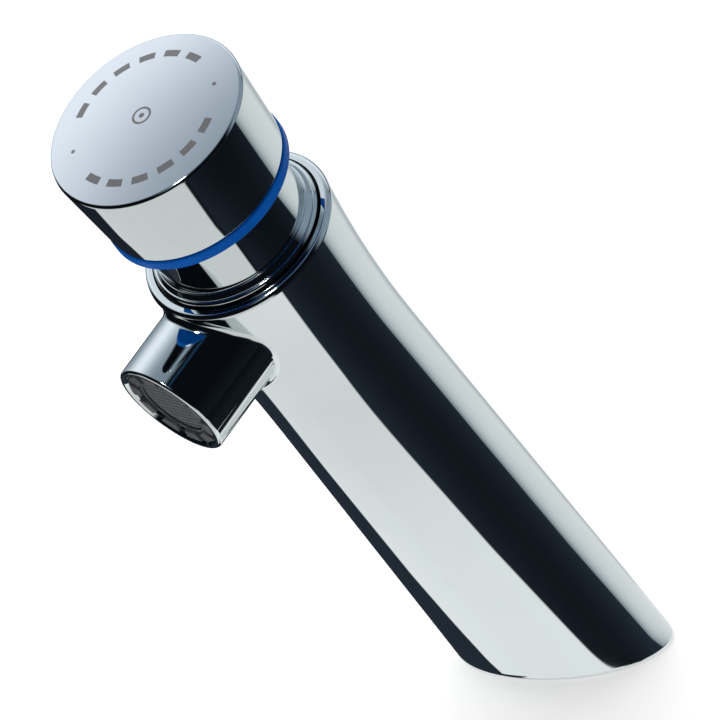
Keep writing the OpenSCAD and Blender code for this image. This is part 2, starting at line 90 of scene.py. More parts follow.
class TapBodySizes(bpy.types.PropertyGroup):
    """Sizes of the plated body and its spout."""

    body_len: length("Body length", "From the base's middle to the rim, along the axis", 169.5)
    base_d: length("Base", "Diameter at the base, square to the axis", 45.0)
    waist_d: length("Waist", "Diameter at the waist", 41.8)
    rim_d: length("Rim", "Diameter at the rim", 49.0)
    flare_len: length("Flare", "Length of the flare below the rim", 50.0)
    waist_blend: length("Waist blend", "Half length over which taper and flare run together", 14.0)
    rim_round: length("Rim rounding", "Rounding of the rim's outer edge", 1.3)
    rim_gap_d: length("Rim gap", "Outside of the narrow gap between the rim and the trim ring", 44.45)
    rim_gap_h: length("Rim gap depth", "Depth of that gap", 2.0)
    base_round: length("Base rounding", "Rounding of the base's edge under the spout", 4.0)
    base_heel_round: length("Heel rounding", "Rounding of the base's edge at the back", 0.7)
    spout_d: length("Spout", "Diameter of the spout", 28.6)
    spout_drop: length("Spout drop", "From the rim down to the spout's axis", 16.5)
    spout_reach: length("Spout reach", "From the body's axis to the outlet face", 40.8)
    spout_fillet: length("Spout fillet", "Fillet where the spout leaves the body", 2.2)
    lip_round: length("Lip rounding", "Rounding of the lip's outer edge", 0.8)
    lip_chamfer: length("Lip chamfer", "Chamfer inside the lip", 0.9)
    outlet_d: length("Outlet bore", "Bore that takes the outlet's key ring", 24.0)
    outlet_depth: length("Outlet depth", "Depth of that bore", 14.0)
    chamber_d: length("Chamber", "Leaning bore of the lower body", 34.0)
    pocket_d: length("Pocket", "Bore that takes the head and cartridge", 34.2)
    pocket_depth: length("Pocket depth", "Depth of the pocket below the rim", 52.5)
    partition_h: length("Partition", "Thickness of the wall under the pocket", 12.0)
    seat_way_d: length("Seat way", "Bore through that wall", 24.0)
    groove_out_d: length("Gasket groove outside", "Outside of the base's groove, square to the axis", 40.8)
    groove_in_d: length("Gasket groove inside", "Inside of the base's groove, square to the axis", 36.4)
    groove_h: length("Gasket groove depth", "Depth of the groove under the base", 2.0)


class TapTopSizes(bpy.types.PropertyGroup):
    """Sizes of the neck, the trim ring, the push button and its coloured ring."""

    neck_d: length("Neck", "Diameter of the bright neck", 39.0)
    neck_top: length("Neck top", "Station of the neck's end along the axis", 200.0)
    neck_chamfer: length("Neck chamfer", "Chamfer at the neck's end", 1.0)
    neck_foot_round: length("Neck foot", "Hollow where the neck meets its collar", 0.35)
    collar_d: length("Collar", "Diameter of the sloping collar", 41.5)
    collar_h: length("Collar height", "Height of the sloping collar", 2.2)
    collar_foot_h: length("Collar foot", "Height of the collar's upright foot", 0.85)
    collar_top_w: length("Collar top", "Width of the collar's level top", 0.35)
    collar_round: length("Collar rounding", "Rounding of the collar's edges", 0.5)
    trim_d: length("Trim ring", "Diameter of the trim ring", 43.2)
    trim_h: length("Trim height", "Thickness of the trim ring under the collar", 0.6)
    trim_bead_h: length("Trim bead", "Height of the trim ring's bead round the collar", 1.4)
    spigot_d: length("Spigot", "Diameter of the head's screwed spigot", 34.0)
    spigot_h: length("Spigot length", "Length of the spigot below the rim", 9.0)
    seal_groove_d: length("Seal groove", "Diameter of the seal's groove in the spigot", 29.6)
    seal_groove_h: length("Seal groove width", "Width of the seal's groove", 2.3)
    head_bore_d: length("Head bore", "Bore of the head", 26.2)
    wall_foot: length("Head wall foot", "From the rim to the underside of the head's inner wall", 12.5)
    wall_h: length("Head wall", "Thickness of the head's inner wall", 8.0)
    gland_d: length("Gland", "Bore of the stem's gland", 13.4)
    button_d: length("Button top", "Diameter of the button's top", 50.0)
    button_foot_d: length("Button foot", "Diameter of the button's foot", 46.8)
    button_foot: length("Button foot station", "Station of the button's foot along the axis", 190.5)
    button_top: length("Button top station", "Station of the edge of the button's top along the axis", 213.25)
    button_dome: length("Button dome", "Rise of the button's top from its edge to its middle", 1.6)
    button_round: length("Button rounding", "Rounding of the button's top edge", 0.9)
    button_foot_round: length("Button foot rounding", "Rounding of the button's foot edge", 0.3)
    button_bore_d: length("Button hollow", "Diameter of the button's hollow", 43.0)
    button_roof: length("Button roof", "Thickness of the button's top wall at its edge", 3.5)
    boss_d: length("Boss", "Diameter of the boss under the top", 16.0)
    boss_h: length("Boss height", "Height of the boss", 6.0)
    stem_hole_d: length("Stem hole", "Hole in the boss for the stem", 8.2)
    stem_grip: length("Stem grip", "Depth of that hole", 7.5)
    ring_d: length("Coloured ring", "Diameter of the coloured ring", 47.4)
    ring_h: length("Ring height", "Height of the ring's visible band", 3.2)
    ring_bore_d: length("Ring bore", "Bore of the coloured ring", 40.4)
    ring_spigot_d: length("Ring spigot", "Diameter of the spigot inside the button", 42.8)
    ring_spigot_h: length("Ring spigot height", "Height of that spigot", 3.0)
    ring_round: length("Ring rounding", "Rounding of the ring's edges", 0.45)
    ring_gap_h: length("Ring gap", "Width of the narrow gap between the ring and the button", 0.4)
    ring_gap_d: length("Ring gap floor", "Diameter of the floor of that gap", 45.8)


class TapOutletSizes(bpy.types.PropertyGroup):
    """Sizes of the outlet's key ring and mesh, and of the spring."""

    ring_d: length("Key ring", "Outside of the key ring", 23.8)
    ring_bore_d: length("Key ring bore", "Bore of the key ring, inside its teeth", 18.2)
    ring_back: length("Key ring back", "Station of the ring's back along the spout", 28.8)
    tooth_tip: length("Tooth tips", "Station of the teeth's tips along the spout", 40.5)
    tooth_root: length("Tooth roots", "Station of the slots' floor along the spout", 38.4)
    rim_front: length("Mesh rim front", "Station of the front of the rim round the mesh", 39.7)
    rim_back: length("Mesh rim back", "Station of the back of that rim", 39.4)
    rim_open_d: length("Mesh opening", "Opening of that rim", 16.8)
    tooth_round: length("Tooth rounding", "Rounding of the teeth's edges", 0.14)
    slot_w: length("Slot width", "Width of a slot between two teeth", 2.4)
    teeth: IntProperty(name="Teeth", description="Number of teeth on the key ring", default=10, min=3, max=24)
    mesh_d: length("Mesh", "Diameter of the woven mesh", 17.8)
    mesh_front: length("Mesh station", "Station of the mesh's middle along the spout", 39.05)
    pitch: length("Mesh pitch", "Distance between two wires of the mesh", 0.50)
    weave: angle_of("Weave", "Turn of the wires from straight across", 28.0)
    wire_d: length("Mesh wire", "Diameter of a wire of the mesh", 0.23)
    spring_foot: length("Spring foot", "Station of the spring's foot along the axis", 142.0)
    spring_len: length("Spring length", "Length of the spring at rest", 22.5)
    coil_d: length("Coil", "Coil diameter at the wire's middle", 15.0)
    coil_wire_d: length("Coil wire", "Wire diameter of the spring", 1.6)
    turns: FloatProperty(name="Turns", description="Turns of the spring", default=6.5, min=1.0, max=20.0)


class TapFinishes(bpy.types.PropertyGroup):
    """Colours of the finishes."""

    plate: tint("Plate", "Bright plate", (0.660, 0.712, 0.710))
    plate_deep: tint("Plate, deep", "The plate's slightly darker tone", (0.645, 0.698, 0.697))
    cap: tint("Button top", "Plate on the button's top", (0.685, 0.722, 0.745))
    etch: tint("Etched mark", "Etched marks on the button's top", (0.30, 0.28, 0.27))
    blue: tint("Blue ring", "Coloured ring", (0.0002, 0.103, 0.465))
    blue_deep: tint("Blue ring, deep", "The ring's deeper tone", (0.0001, 0.080, 0.385))
    # Key ring's grey: partly its own dark plastic, partly painted shade of the outlet's hollow
    grey: tint("Grey plastic", "Key ring of the outlet", (0.070, 0.074, 0.080))
    white: tint("White plastic", "Moulded inner pieces", (0.78, 0.78, 0.755))
    rubber: tint("Rubber", "Seals", (0.022, 0.022, 0.023))
    steel: tint("Stainless steel", "Spring, nuts and washers", (0.58, 0.60, 0.62))
    # Outlet mesh: partly the wire's own tone, partly painted shade inside the outlet, so darker than the
    # steel
    mesh: tint("Outlet mesh", "Woven mesh of the outlet", (0.32, 0.345, 0.36))
    # Dull bore: partly bare metal, partly painted shade that darkens the bores and the narrow gap inside the
    # rim
    bore: tint("Dull bore", "Unpolished metal inside the body", (0.060, 0.058, 0.056))
    brass: tint("Brass", "Turned brass pieces", (0.74, 0.55, 0.24))


class TapStage(bpy.types.PropertyGroup):
    """Camera, floor and light of the studio."""

    azimuth: angle_of("Azimuth", "Where the camera stands round the tap", 46.842)
    elevation: angle_of("Elevation", "How far the camera stands above the horizon", 19.639)
    roll: angle_of("Roll", "Turn of the camera about its own line of sight", 0.405)
    distance: length("Distance", "From the camera to the middle of the tap", 2082.64)
    lens: FloatProperty(name="Lens", description="Focal length in millimetres", default=440.06)
    aim_station: length("Aim station", "Station on the axis that the camera is set out from", 100.0)
    aim_right: length("Aim across", "Shift of the aim to the right of that station", -3.719, low=-1.0)
    aim_up: length("Aim up", "Shift of the aim above that station", 10.913, low=-1.0)
    ambient: FloatProperty(name="Ambient", description="Even light on matt surfaces", default=0.55)
    key_power: FloatProperty(name="Key lamp", description="Power of the large soft lamp", default=26.0)
    floor: tint("Floor", "Colour of the floor", (0.80, 0.80, 0.80))
    flag: tint("Flag", "Colour of the dark cloth that the plate shows", (0.0088, 0.0120, 0.0175))
    softbox: tint("Softbox", "Colour of the long soft light to the tap's left", (0.98, 0.98, 1.0))
    room: tint("Room", "Colour of the faint light round the softbox", (0.66, 0.82, 1.0))
    spark: FloatProperty(name="Spark", description="Brightness of the small lamp that edges catch",
                         default=30.0)


# Meshes whose every corner knows its exact normal, so that the plate reflects without facets

# The dull finish is dark partly as bare metal and partly as painted shade in the bores and the rim's gap
BRIGHT, DULL_AND_SHADE = 0, 1     # places of the two finishes in the body's list
TURNED_SIDES = 256      # columns round a turned piece
ROUND_STEPS = 8         # steps in a quarter turn of a rounded edge
ROUND_LEAST = 3         # least number of steps in a rounded edge
AXIS_R = 1e-6           # a point nearer to the axis than this is a pole


class Skin:
    """Points and faces under construction, in millimetres, with a normal for each face corner."""

    def __init__(self):
        self.points, self.count, self.faces, self.normals, self.kinds = [], 0, [], [], []
        self.kind = BRIGHT

    def add(self, points):
        """Add points and return their numbers."""
        points = np.atleast_2d(np.asarray(points, float))
        self.points.append(points)
        self.count += len(points)
        return np.arange(self.count - len(points), self.count)

    def join(self, a, na, b, nb, closed=True):
        """Faces between two rows of points. A row of one point makes a fan."""
        if len(a) == 1 and len(b) == 1:
            return
        if len(a) == 1:
            a, na, b, nb = b, nb, a, na
        stop = len(a) if closed else len(a) - 1
        i = np.arange(stop)
        k = (i + 1) % len(a)
        na = np.broadcast_to(na, (len(a), 3))
        if len(b) == 1:
            tip = np.full(stop, b[0])
            tip_n = np.broadcast_to(np.asarray(nb).reshape(-1, 3)[0], (stop, 3))
            self.faces.append(np.stack([a[i], a[k], tip], 1))
            self.normals.append(np.stack([na[i], na[k], tip_n], 1))
            self.kinds.append(np.full(stop, self.kind))
            return
        nb = np.broadcast_to(nb, (len(b), 3))
        self.faces.append(np.stack([a[i], a[k], b[k], b[i]], 1))
        self.normals.append(np.stack([na[i], na[k], nb[k], nb[i]], 1))
        self.kinds.append(np.full(stop, self.kind))

    def strip(self, ids, normals, rows, flat=False):
        """Join rows of points and normals on to a first row, in turn. Flat rows meet at sharp edges."""
        for points, n in rows:
            new = self.add(points)
            self.join(ids, n if flat else normals, new, n)
            ids, normals = new, n
        return ids, normals

    def mesh(self, name):
        """A Blender mesh in metres. Each face is turned to the side that its normals point to."""
        points = np.concatenate(self.points)
        faces, normals = [], []
        for f, n in zip(self.faces, self.normals):
            p = points[f]
            face_n = np.cross(p[:, 2] - p[:, 0], p[:, -1] - p[:, 1])
            if f.shape[1] == 3:
                face_n = np.cross(p[:, 1] - p[:, 0], p[:, 2] - p[:, 0])
            wrong = np.einsum("ij,ij->i", face_n, n.sum(1)) < 0
            f = np.where(wrong[:, None], f[:, ::-1], f)
            n = np.where(wrong[:, None, None], n[:, ::-1], n)
            faces += f.tolist()
            normals.append(n.reshape(-1, 3))
        mesh = bpy.data.meshes.new(name)
        mesh.from_pydata((points * MM).tolist(), [], faces)
        mesh.polygons.foreach_set("use_smooth", np.ones(len(faces), bool))
        mesh.polygons.foreach_set("material_index", np.concatenate(self.kinds).astype(np.int32))
        mesh.normals_split_custom_set(np.concatenate(normals).tolist())
        mesh.update()
        return mesh


def unit(v):
    """Vectors of length one."""
    v = np.asarray(v, float)
    return v / np.linalg.norm(v, axis=-1, keepdims=True)


def swing(a, b, share):
    """Unit vectors on the way from a to b, row by row."""
    angle = np.arccos(np.clip((a * b).sum(-1, keepdims=True), -1, 1))
    return (np.sin((1 - share) * angle) * a + np.sin(share * angle) * b) / np.sin(angle)


def section(corners, steps=ROUND_STEPS):
    """Runs of (r, s, nr, ns) round a closed section. Its corners (r, s, rounding) go up the outside first."""
    pts = [np.array(c[:2], float) for c in corners]
    rounds = [c[2] if len(c) > 2 else 0.0 for c in corners]
    n = len(pts)
    ends, arcs = [], []
    for i in range(n):
        d1, d2 = unit(pts[i] - pts[i - 1]), unit(pts[(i + 1) % n] - pts[i])
        turn = math.atan2(d1[0] * d2[1] - d1[1] * d2[0], d1 @ d2)
        if rounds[i] == 0:
            ends.append((pts[i], pts[i]))
            arcs.append(None)
            continue
        cut = rounds[i] * math.tan(abs(turn) / 2)
        start, stop = pts[i] - d1 * cut, pts[i] + d2 * cut
        n1 = np.array([d1[1], -d1[0]])
        side = math.copysign(1.0, turn)
        centre = start - n1 * rounds[i] * side
        count = max(ROUND_LEAST, math.ceil(abs(turn) / (math.pi / 2) * steps))
        run = []
        for k in range(count + 1):
            t = turn * k / count
            c, s = math.cos(t), math.sin(t)
            nn = np.array([n1[0] * c - n1[1] * s, n1[0] * s + n1[1] * c])
            p = centre + nn * rounds[i] * side
            run.append((p[0], p[1], nn[0], nn[1]))
        ends.append((start, stop))
        arcs.append(run)
    runs = []
    for i in range(n):
        if arcs[i]:
            runs.append(arcs[i])
        a, b = ends[i][1], ends[(i + 1) % n][0]
        d = unit(b - a)
        runs.append([(a[0], a[1], d[1], -d[0]), (b[0], b[1], d[1], -d[0])])
    return runs


def revolve(skin, runs, n, origin, axis, zero, quarter):
    """Turn a closed section about an axis. zero and quarter are the directions at 0 and 90 degrees."""
    t = 2 * math.pi * np.arange(n) / n
    spokes = np.cos(t)[:, None] * zero + np.sin(t)[:, None] * quarter
    first = last = None
    for i, run in enumerate(runs):
        row = None
        for k, (r, s, nr, ns) in enumerate(run):
            pole = abs(r) < AXIS_R
            normals = np.atleast_2d(ns * axis) if pole else nr * spokes + ns * axis
            if k == 0 and last is not None:
                ids = last
            elif i == len(runs) - 1 and k == len(run) - 1:
                ids = first
            elif pole:
                ids = skin.add(origin + s * axis)
            else:
                ids = skin.add(origin + s * axis + r * spokes)
            first = ids if first is None else first
            if row is not None:
                skin.join(row[0], row[1], ids, normals)
            row = (ids, normals)
            last = ids
    return skin


def turned(name, runs):
    """Mesh of a piece turned about the tap's leaning axis."""
    return revolve(Skin(), runs, TURNED_SIDES, np.zeros(3), UP, OUT, ACROSS).mesh(name)


def place_piece(mesh, body, finishes, nodes):
    """Link a finished mesh as a piece that rides on a body and stands for its nodes."""
    piece = bpy.data.objects.new(mesh.name, mesh)
    bpy.context.scene.collection.objects.link(piece)
    for finish in finishes:
        mesh.materials.append(finish_named(finish))
    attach(piece, body)
    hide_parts(*nodes)
    return piece


def mm(group, *names):
    """Sizes of a property group in millimetres."""
    return [getattr(group, n) / MM for n in names]


# Finishes


def add(tree, kind, settings=None, **inputs):
    """A node of a tree. Inputs are constants or sockets, and an underscore in a name stands for a space."""
    node = tree.nodes.new(kind)
    for key, value in (settings or {}).items():
        setattr(node, key, value)
    for key, value in inputs.items():
        key = key.replace("_", " ")
        socket = node.inputs[int(key[1:])] if key[0] == "i" and key[1:].isdigit() else node.inputs[key]
        if isinstance(value, bpy.types.NodeSocket):
            tree.links.new(value, socket)
        else:
            socket.default_value = value
    return node


def made(tree, kind, settings=None, **inputs):
    """First output of a new node."""
    return add(tree, kind, settings, **inputs).outputs[0]


def math_node(tree, operation, a, b=0.0):
    """Result of a Math node."""
    return made(tree, "ShaderNodeMath", {"operation": operation}, i0=a, i1=b)


def ramp(tree, value, low, high, to_low=0.0, to_high=1.0, smooth=True):
    """Value mapped from one range to another."""
    settings = {"interpolation_type": "SMOOTHSTEP" if smooth else "LINEAR"}
    return made(tree, "ShaderNodeMapRange", settings, Value=value, From_Min=low, From_Max=high, To_Min=to_low,
                To_Max=to_high)


def mix(tree, factor, a, b):
    """Colour between a and b."""
    a = (*a, 1.0) if isinstance(a, tuple) else a
    b = (*b, 1.0) if isinstance(b, tuple) else b
    return add(tree, "ShaderNodeMix", {"data_type": "RGBA"}, i0=factor, i6=a, i7=b).outputs[2]


def bare_material(name):
    """A new material and its empty tree."""
    material = bpy.data.materials.new(name)
    material.use_nodes = True
    material.node_tree.nodes.clear()
    return material, material.node_tree


def show(tree, shader, output="ShaderNodeOutputMaterial"):
    """Link a shader to the tree's output."""
    tree.links.new(shader.outputs[0], tree.nodes.new(output).inputs[0])


def start_finish(name):
    """A new material with a shader, and the piece's coordinates."""
    material, tree = bare_material(name)
    shader = tree.nodes.new("ShaderNodeBsdfPrincipled")
    show(tree, shader)
    coords = tree.nodes.new("ShaderNodeTexCoord").outputs["Object"]
    return material, tree, shader, coords


def feed(tree, shader, **values):
    """Link values to a shader's inputs. An underscore in a name stands for a space."""
    for key, value in values.items():
        tree.links.new(value, shader.inputs[key.replace("_", " ")])


def noise(tree, coords, scale, detail=3.0, roughness=0.5):
    """Even noise over the piece."""
    return add(tree, "ShaderNodeTexNoise", None, Vector=coords, Scale=scale, Detail=detail,
               Roughness=roughness).outputs["Fac"]


def bump(tree, height, strength, distance):
    """Normal from a height."""
    return made(tree, "ShaderNodeBump", Strength=strength, Distance=distance, Height=height)


def turned_by(tree, coords, rotation):
    """Coordinates turned about the origin."""
    return made(tree, "ShaderNodeMapping", {"vector_type": "POINT"}, Vector=coords, Rotation=rotation)


def levelled(tree, coords):
    """Coordinates turned so that the tap's axis stands upright."""
    return turned_by(tree, coords, (-LEAN, 0.0, 0.0))


def colour(value, share=1.0):
    """A colour as a plain tuple, or a share of it for a darker tone."""
    return tuple(share * float(x) for x in value)


# Part of a noise's range over which a finish goes from its deep tone to its light one
TONE_RANGE, WIDE_RANGE, HAZE_RANGE = (0.3, 0.7), (0.25, 0.75), (0.35, 0.75)
# Scales of the plate's haze and of the button top's clouds, and how much finer a moulding's grain is
HAZE_SCALE, CAP_SCALE, GRAIN_FINER = 55.0, 70.0, 22
PLATE_ROUGH, CAP_ROUGH, ETCH_ROUGH = (0.018, 0.036), (0.085, 0.105), 0.4
# Shares by which the roughness goes up and down, and by which the deep tones are darker
MOULD_SPREAD, METAL_SPREAD, CAP_DEEP, METAL_DEEP = 0.15, 0.2, 0.985, 0.82
# Strength and depth of the bumps, in metres
ETCH_BUMP, MOULD_BUMP, METAL_BUMP = (0.15, 0.00004), (0.08, 0.00002), (0.1, 0.00003)
PLASTIC_IOR = 1.49
# Heights from the edge of the button's top at which its softer plate begins and is whole, in millimetres
CAP_FROM, CAP_TO = -0.15, 0.05
# Plain marks on the button's top, in millimetres
MARK_TURN = math.radians(48.0)
MARK_R, MARK_SOFT = 18.5, 0.05
DASH_W, DASH_STEP, DASH_SHARE, DASH_SOFT = 2.0, math.radians(20.8), 0.62, 0.01
QUARTER_DASHES = 3
RING_R, RING_W, PIP_R, DOT_R = 2.2, 0.6, 0.7, 0.55


def plated(tree, shader, coords, finishes):
    """Colour and roughness of bright plate with a faint polishing haze. Makes the shader a metal."""
    haze = noise(tree, coords, HAZE_SCALE, detail=4.0, roughness=0.55)
    tone = mix(tree, ramp(tree, haze, *TONE_RANGE), colour(finishes.plate_deep), colour(finishes.plate))
    shader.inputs["Metallic"].default_value = 1.0
    return tone, ramp(tree, haze, *HAZE_RANGE, *PLATE_ROUGH)


def bright_plate(scene):
    """Polished plate of the body, the head and the trim ring."""
    material, tree, shader, coords = start_finish("bright_plate")
    tone, rough = plated(tree, shader, coords, scene.tap_finishes)
    feed(tree, shader, Base_Color=tone, Roughness=rough)
    return material


def button_plate(scene):
    """Plate of the button, a little softer on its domed top, with plain etched dashes, dots and a ring."""
    material, tree, shader, coords = start_finish("button_plate")
    finishes, edge = scene.tap_finishes, scene.tap_top.button_top
    tone, rough = plated(tree, shader, coords, finishes)

    def calc(operation, a, b=0.0):
        return math_node(tree, operation, a, b)

    def reach(a, b):
        return calc("SQRT", calc("ADD", calc("MULTIPLY", a, a), calc("MULTIPLY", b, b)))

    def under(value, limit, soft):
        return ramp(tree, value, limit + soft, limit - soft)

    def within(value, middle, half, soft):
        return under(calc("ABSOLUTE", calc("SUBTRACT", value, middle)), half, soft)

    faced = turned_by(tree, levelled(tree, coords), (0.0, 0.0, -MARK_TURN))
    x, y, z = add(tree, "ShaderNodeSeparateXYZ", None, Vector=faced).outputs
    top = ramp(tree, z, edge + CAP_FROM * MM, edge + CAP_TO * MM)
    cloud = noise(tree, coords, CAP_SCALE)
    cap_tone = mix(tree, ramp(tree, cloud, *WIDE_RANGE), colour(finishes.cap, CAP_DEEP), colour(finishes.cap))

    soft = MARK_SOFT * MM
    radius, side, front = reach(x, y), calc("ABSOLUTE", x), calc("ABSOLUTE", y)
    step = calc("DIVIDE", calc("ARCTAN2", side, front), DASH_STEP)
    dash = within(calc("FRACT", step), 0.5, DASH_SHARE / 2, DASH_SOFT)
    dash = calc("MULTIPLY", dash, under(step, QUARTER_DASHES, DASH_SOFT))
    dash = calc("MULTIPLY", dash, within(radius, MARK_R * MM, DASH_W / 2 * MM, soft))
    ring = within(radius, RING_R * MM, RING_W / 2 * MM, soft)
    pip = under(radius, PIP_R * MM, soft)
    dots = under(reach(calc("SUBTRACT", side, MARK_R * MM), y), DOT_R * MM, soft)
    marks = calc("MAXIMUM", calc("MAXIMUM", dash, ring), calc("MAXIMUM", pip, dots))
    marks = calc("MULTIPLY", marks, top)

    cap_rough = ramp(tree, cloud, *TONE_RANGE, *CAP_ROUGH)
    plain_rough = made(tree, "ShaderNodeMix", {"data_type": "FLOAT"}, i0=top, i2=rough, i3=cap_rough)
    feed(tree, shader,
         Base_Color=mix(tree, marks, mix(tree, top, tone, cap_tone), colour(finishes.etch)),
         Roughness=calc("ADD", plain_rough, calc("MULTIPLY", marks, ETCH_ROUGH)),
         Normal=bump(tree, calc("SUBTRACT", 1.0, marks), *ETCH_BUMP))
    return material


def moulded(name, light, deep, rough, scale, shine):
    """Moulded plastic or rubber: two close tones, a fine grain and its gloss."""
    material, tree, shader, coords = start_finish(name)
    cloud = noise(tree, coords, scale, detail=4.0, roughness=0.6)
    grain = noise(tree, coords, scale * GRAIN_FINER, detail=2.0)
    feed(tree, shader,
         Base_Color=mix(tree, ramp(tree, cloud, *TONE_RANGE), deep, light),
         Roughness=ramp(tree, grain, *WIDE_RANGE, rough * (1 - MOULD_SPREAD), rough * (1 + MOULD_SPREAD)),
         Normal=bump(tree, grain, *MOULD_BUMP))
    shader.inputs["IOR"].default_value = PLASTIC_IOR
    shader.inputs["Specular IOR Level"].default_value = shine
    return material


def metal(name, tone, rough, scale, lines):
    """Bare metal with fine wear, or with the lines of the turning tool along the axis."""
    material, tree, shader, coords = start_finish(name)
    cloud = noise(tree, coords, scale, detail=4.0, roughness=0.6)
    height = cloud
    if lines:
        height = add(tree, "ShaderNodeTexWave", {"wave_type": "BANDS", "bands_direction": "Z"},
                     Vector=levelled(tree, coords), Scale=lines, Distortion=0.4).outputs["Fac"]
    feed(tree, shader,
         Base_Color=mix(tree, ramp(tree, cloud, *TONE_RANGE), colour(tone, METAL_DEEP), tone),
         Roughness=ramp(tree, cloud, *TONE_RANGE, rough * (1 - METAL_SPREAD), rough * (1 + METAL_SPREAD)),
         Normal=bump(tree, height, *METAL_BUMP))
    shader.inputs["Metallic"].default_value = 1.0
    return material


PLATES = {"bright_plate": bright_plate, "button_plate": button_plate}
# Light tone, deep tone and the share of it, roughness, scale of the clouds, gloss
MOULDINGS = {
    "blue_ring": ("blue", "blue_deep", 1.0, 0.30, 60.0, 0.05),
    # grey moulding of the key ring: partly its own tone, partly painted shade of the outlet
    "grey_moulding": ("grey", "grey", 0.86, 0.42, 220.0, 0.3),
    "white_moulding": ("white", "white", 0.93, 0.45, 180.0, 0.3),
    "seal_rubber": ("rubber", "rubber", 0.6, 0.62, 300.0, 0.3),
}
# Tone, roughness, scale of the wear, scale of the tool's lines or nought for none
METALS = {
    # dull bore: very dark, partly bare metal and partly painted shade in the bores and the rim's gap
    "dull_bore": ("bore", 0.55, 400.0, 600.0),
    # mesh wire: partly its own tone, partly painted shade of the outlet
    "mesh_wire": ("mesh", 0.34, 900.0, 0.0),
    "steel_wire": ("steel", 0.26, 900.0, 0.0),
    "steel_turned": ("steel", 0.22, 300.0, 700.0),
    "brass_turned": ("brass", 0.26, 200.0, 500.0),
}


def finish_named(name):
    """The finish of that name, made when it is first asked for."""
    found = bpy.data.materials.get(name)
    if found:
        return found
    finishes = bpy.context.scene.tap_finishes
    if name in MOULDINGS:
        light, deep, share, *rest = MOULDINGS[name]
        return moulded(name, colour(getattr(finishes, light)), colour(getattr(finishes, deep), share), *rest)
    if name in METALS:
        tone, *rest = METALS[name]
        return metal(name, colour(getattr(finishes, tone)), *rest)
    return PLATES[name](bpy.context.scene)


INNER_FINISH = {
    "brass_turned": ["inlet_block", "cartridge_tube", "stem", "valve_holder", "seal_retainer"],
    "seal_rubber": ["base_gasket", "head_seal", "nose_seal", "stem_seal", "aerator_seal", "piston_seal",
                    "valve_washer"],
    "white_moulding": ["guide_bush", "flow_regulator", "aerator_core", "piston"],
    "steel_turned": ["inlet_strainer", "thrust_washer", "lock_nut", "piston_clip", "valve_nut", "timing_jet"],
}


# Body: the turned outside, the spout with its rolled fillet, the rounded base and the bores

AROUND = 240            # columns round the body
WINDOW = 40             # columns on each side of the spout that make way for it
EDGE_ROWS = 8           # rows of the base's rounding, and of the lip's
LOWER_ROWS = 44
FLARE_ROWS = 40
RIM_ROWS = 12
COLLAR_RINGS = 22       # rings between the window's edge and the spout's root
FILLET_ROWS = 10
SPOUT_ROWS = 8
FLARE_FOOT = 128.0      # station where the rows beside the spout begin, in millimetres
ROW_STEP = 0.98         # mean height of one of those rows
LEDGE = 1.0             # width of the ledge inside the rim's gap
TOE_FADE = 4            # how fast the base's larger rounding fades away from the spout's side
RIM_PASSES = 20         # passes that settle where the rim's rounding leaves the flare
ROOT_TABLE, ROOT_TURN = 4000, 1441      # points of the tables that place the spout's root


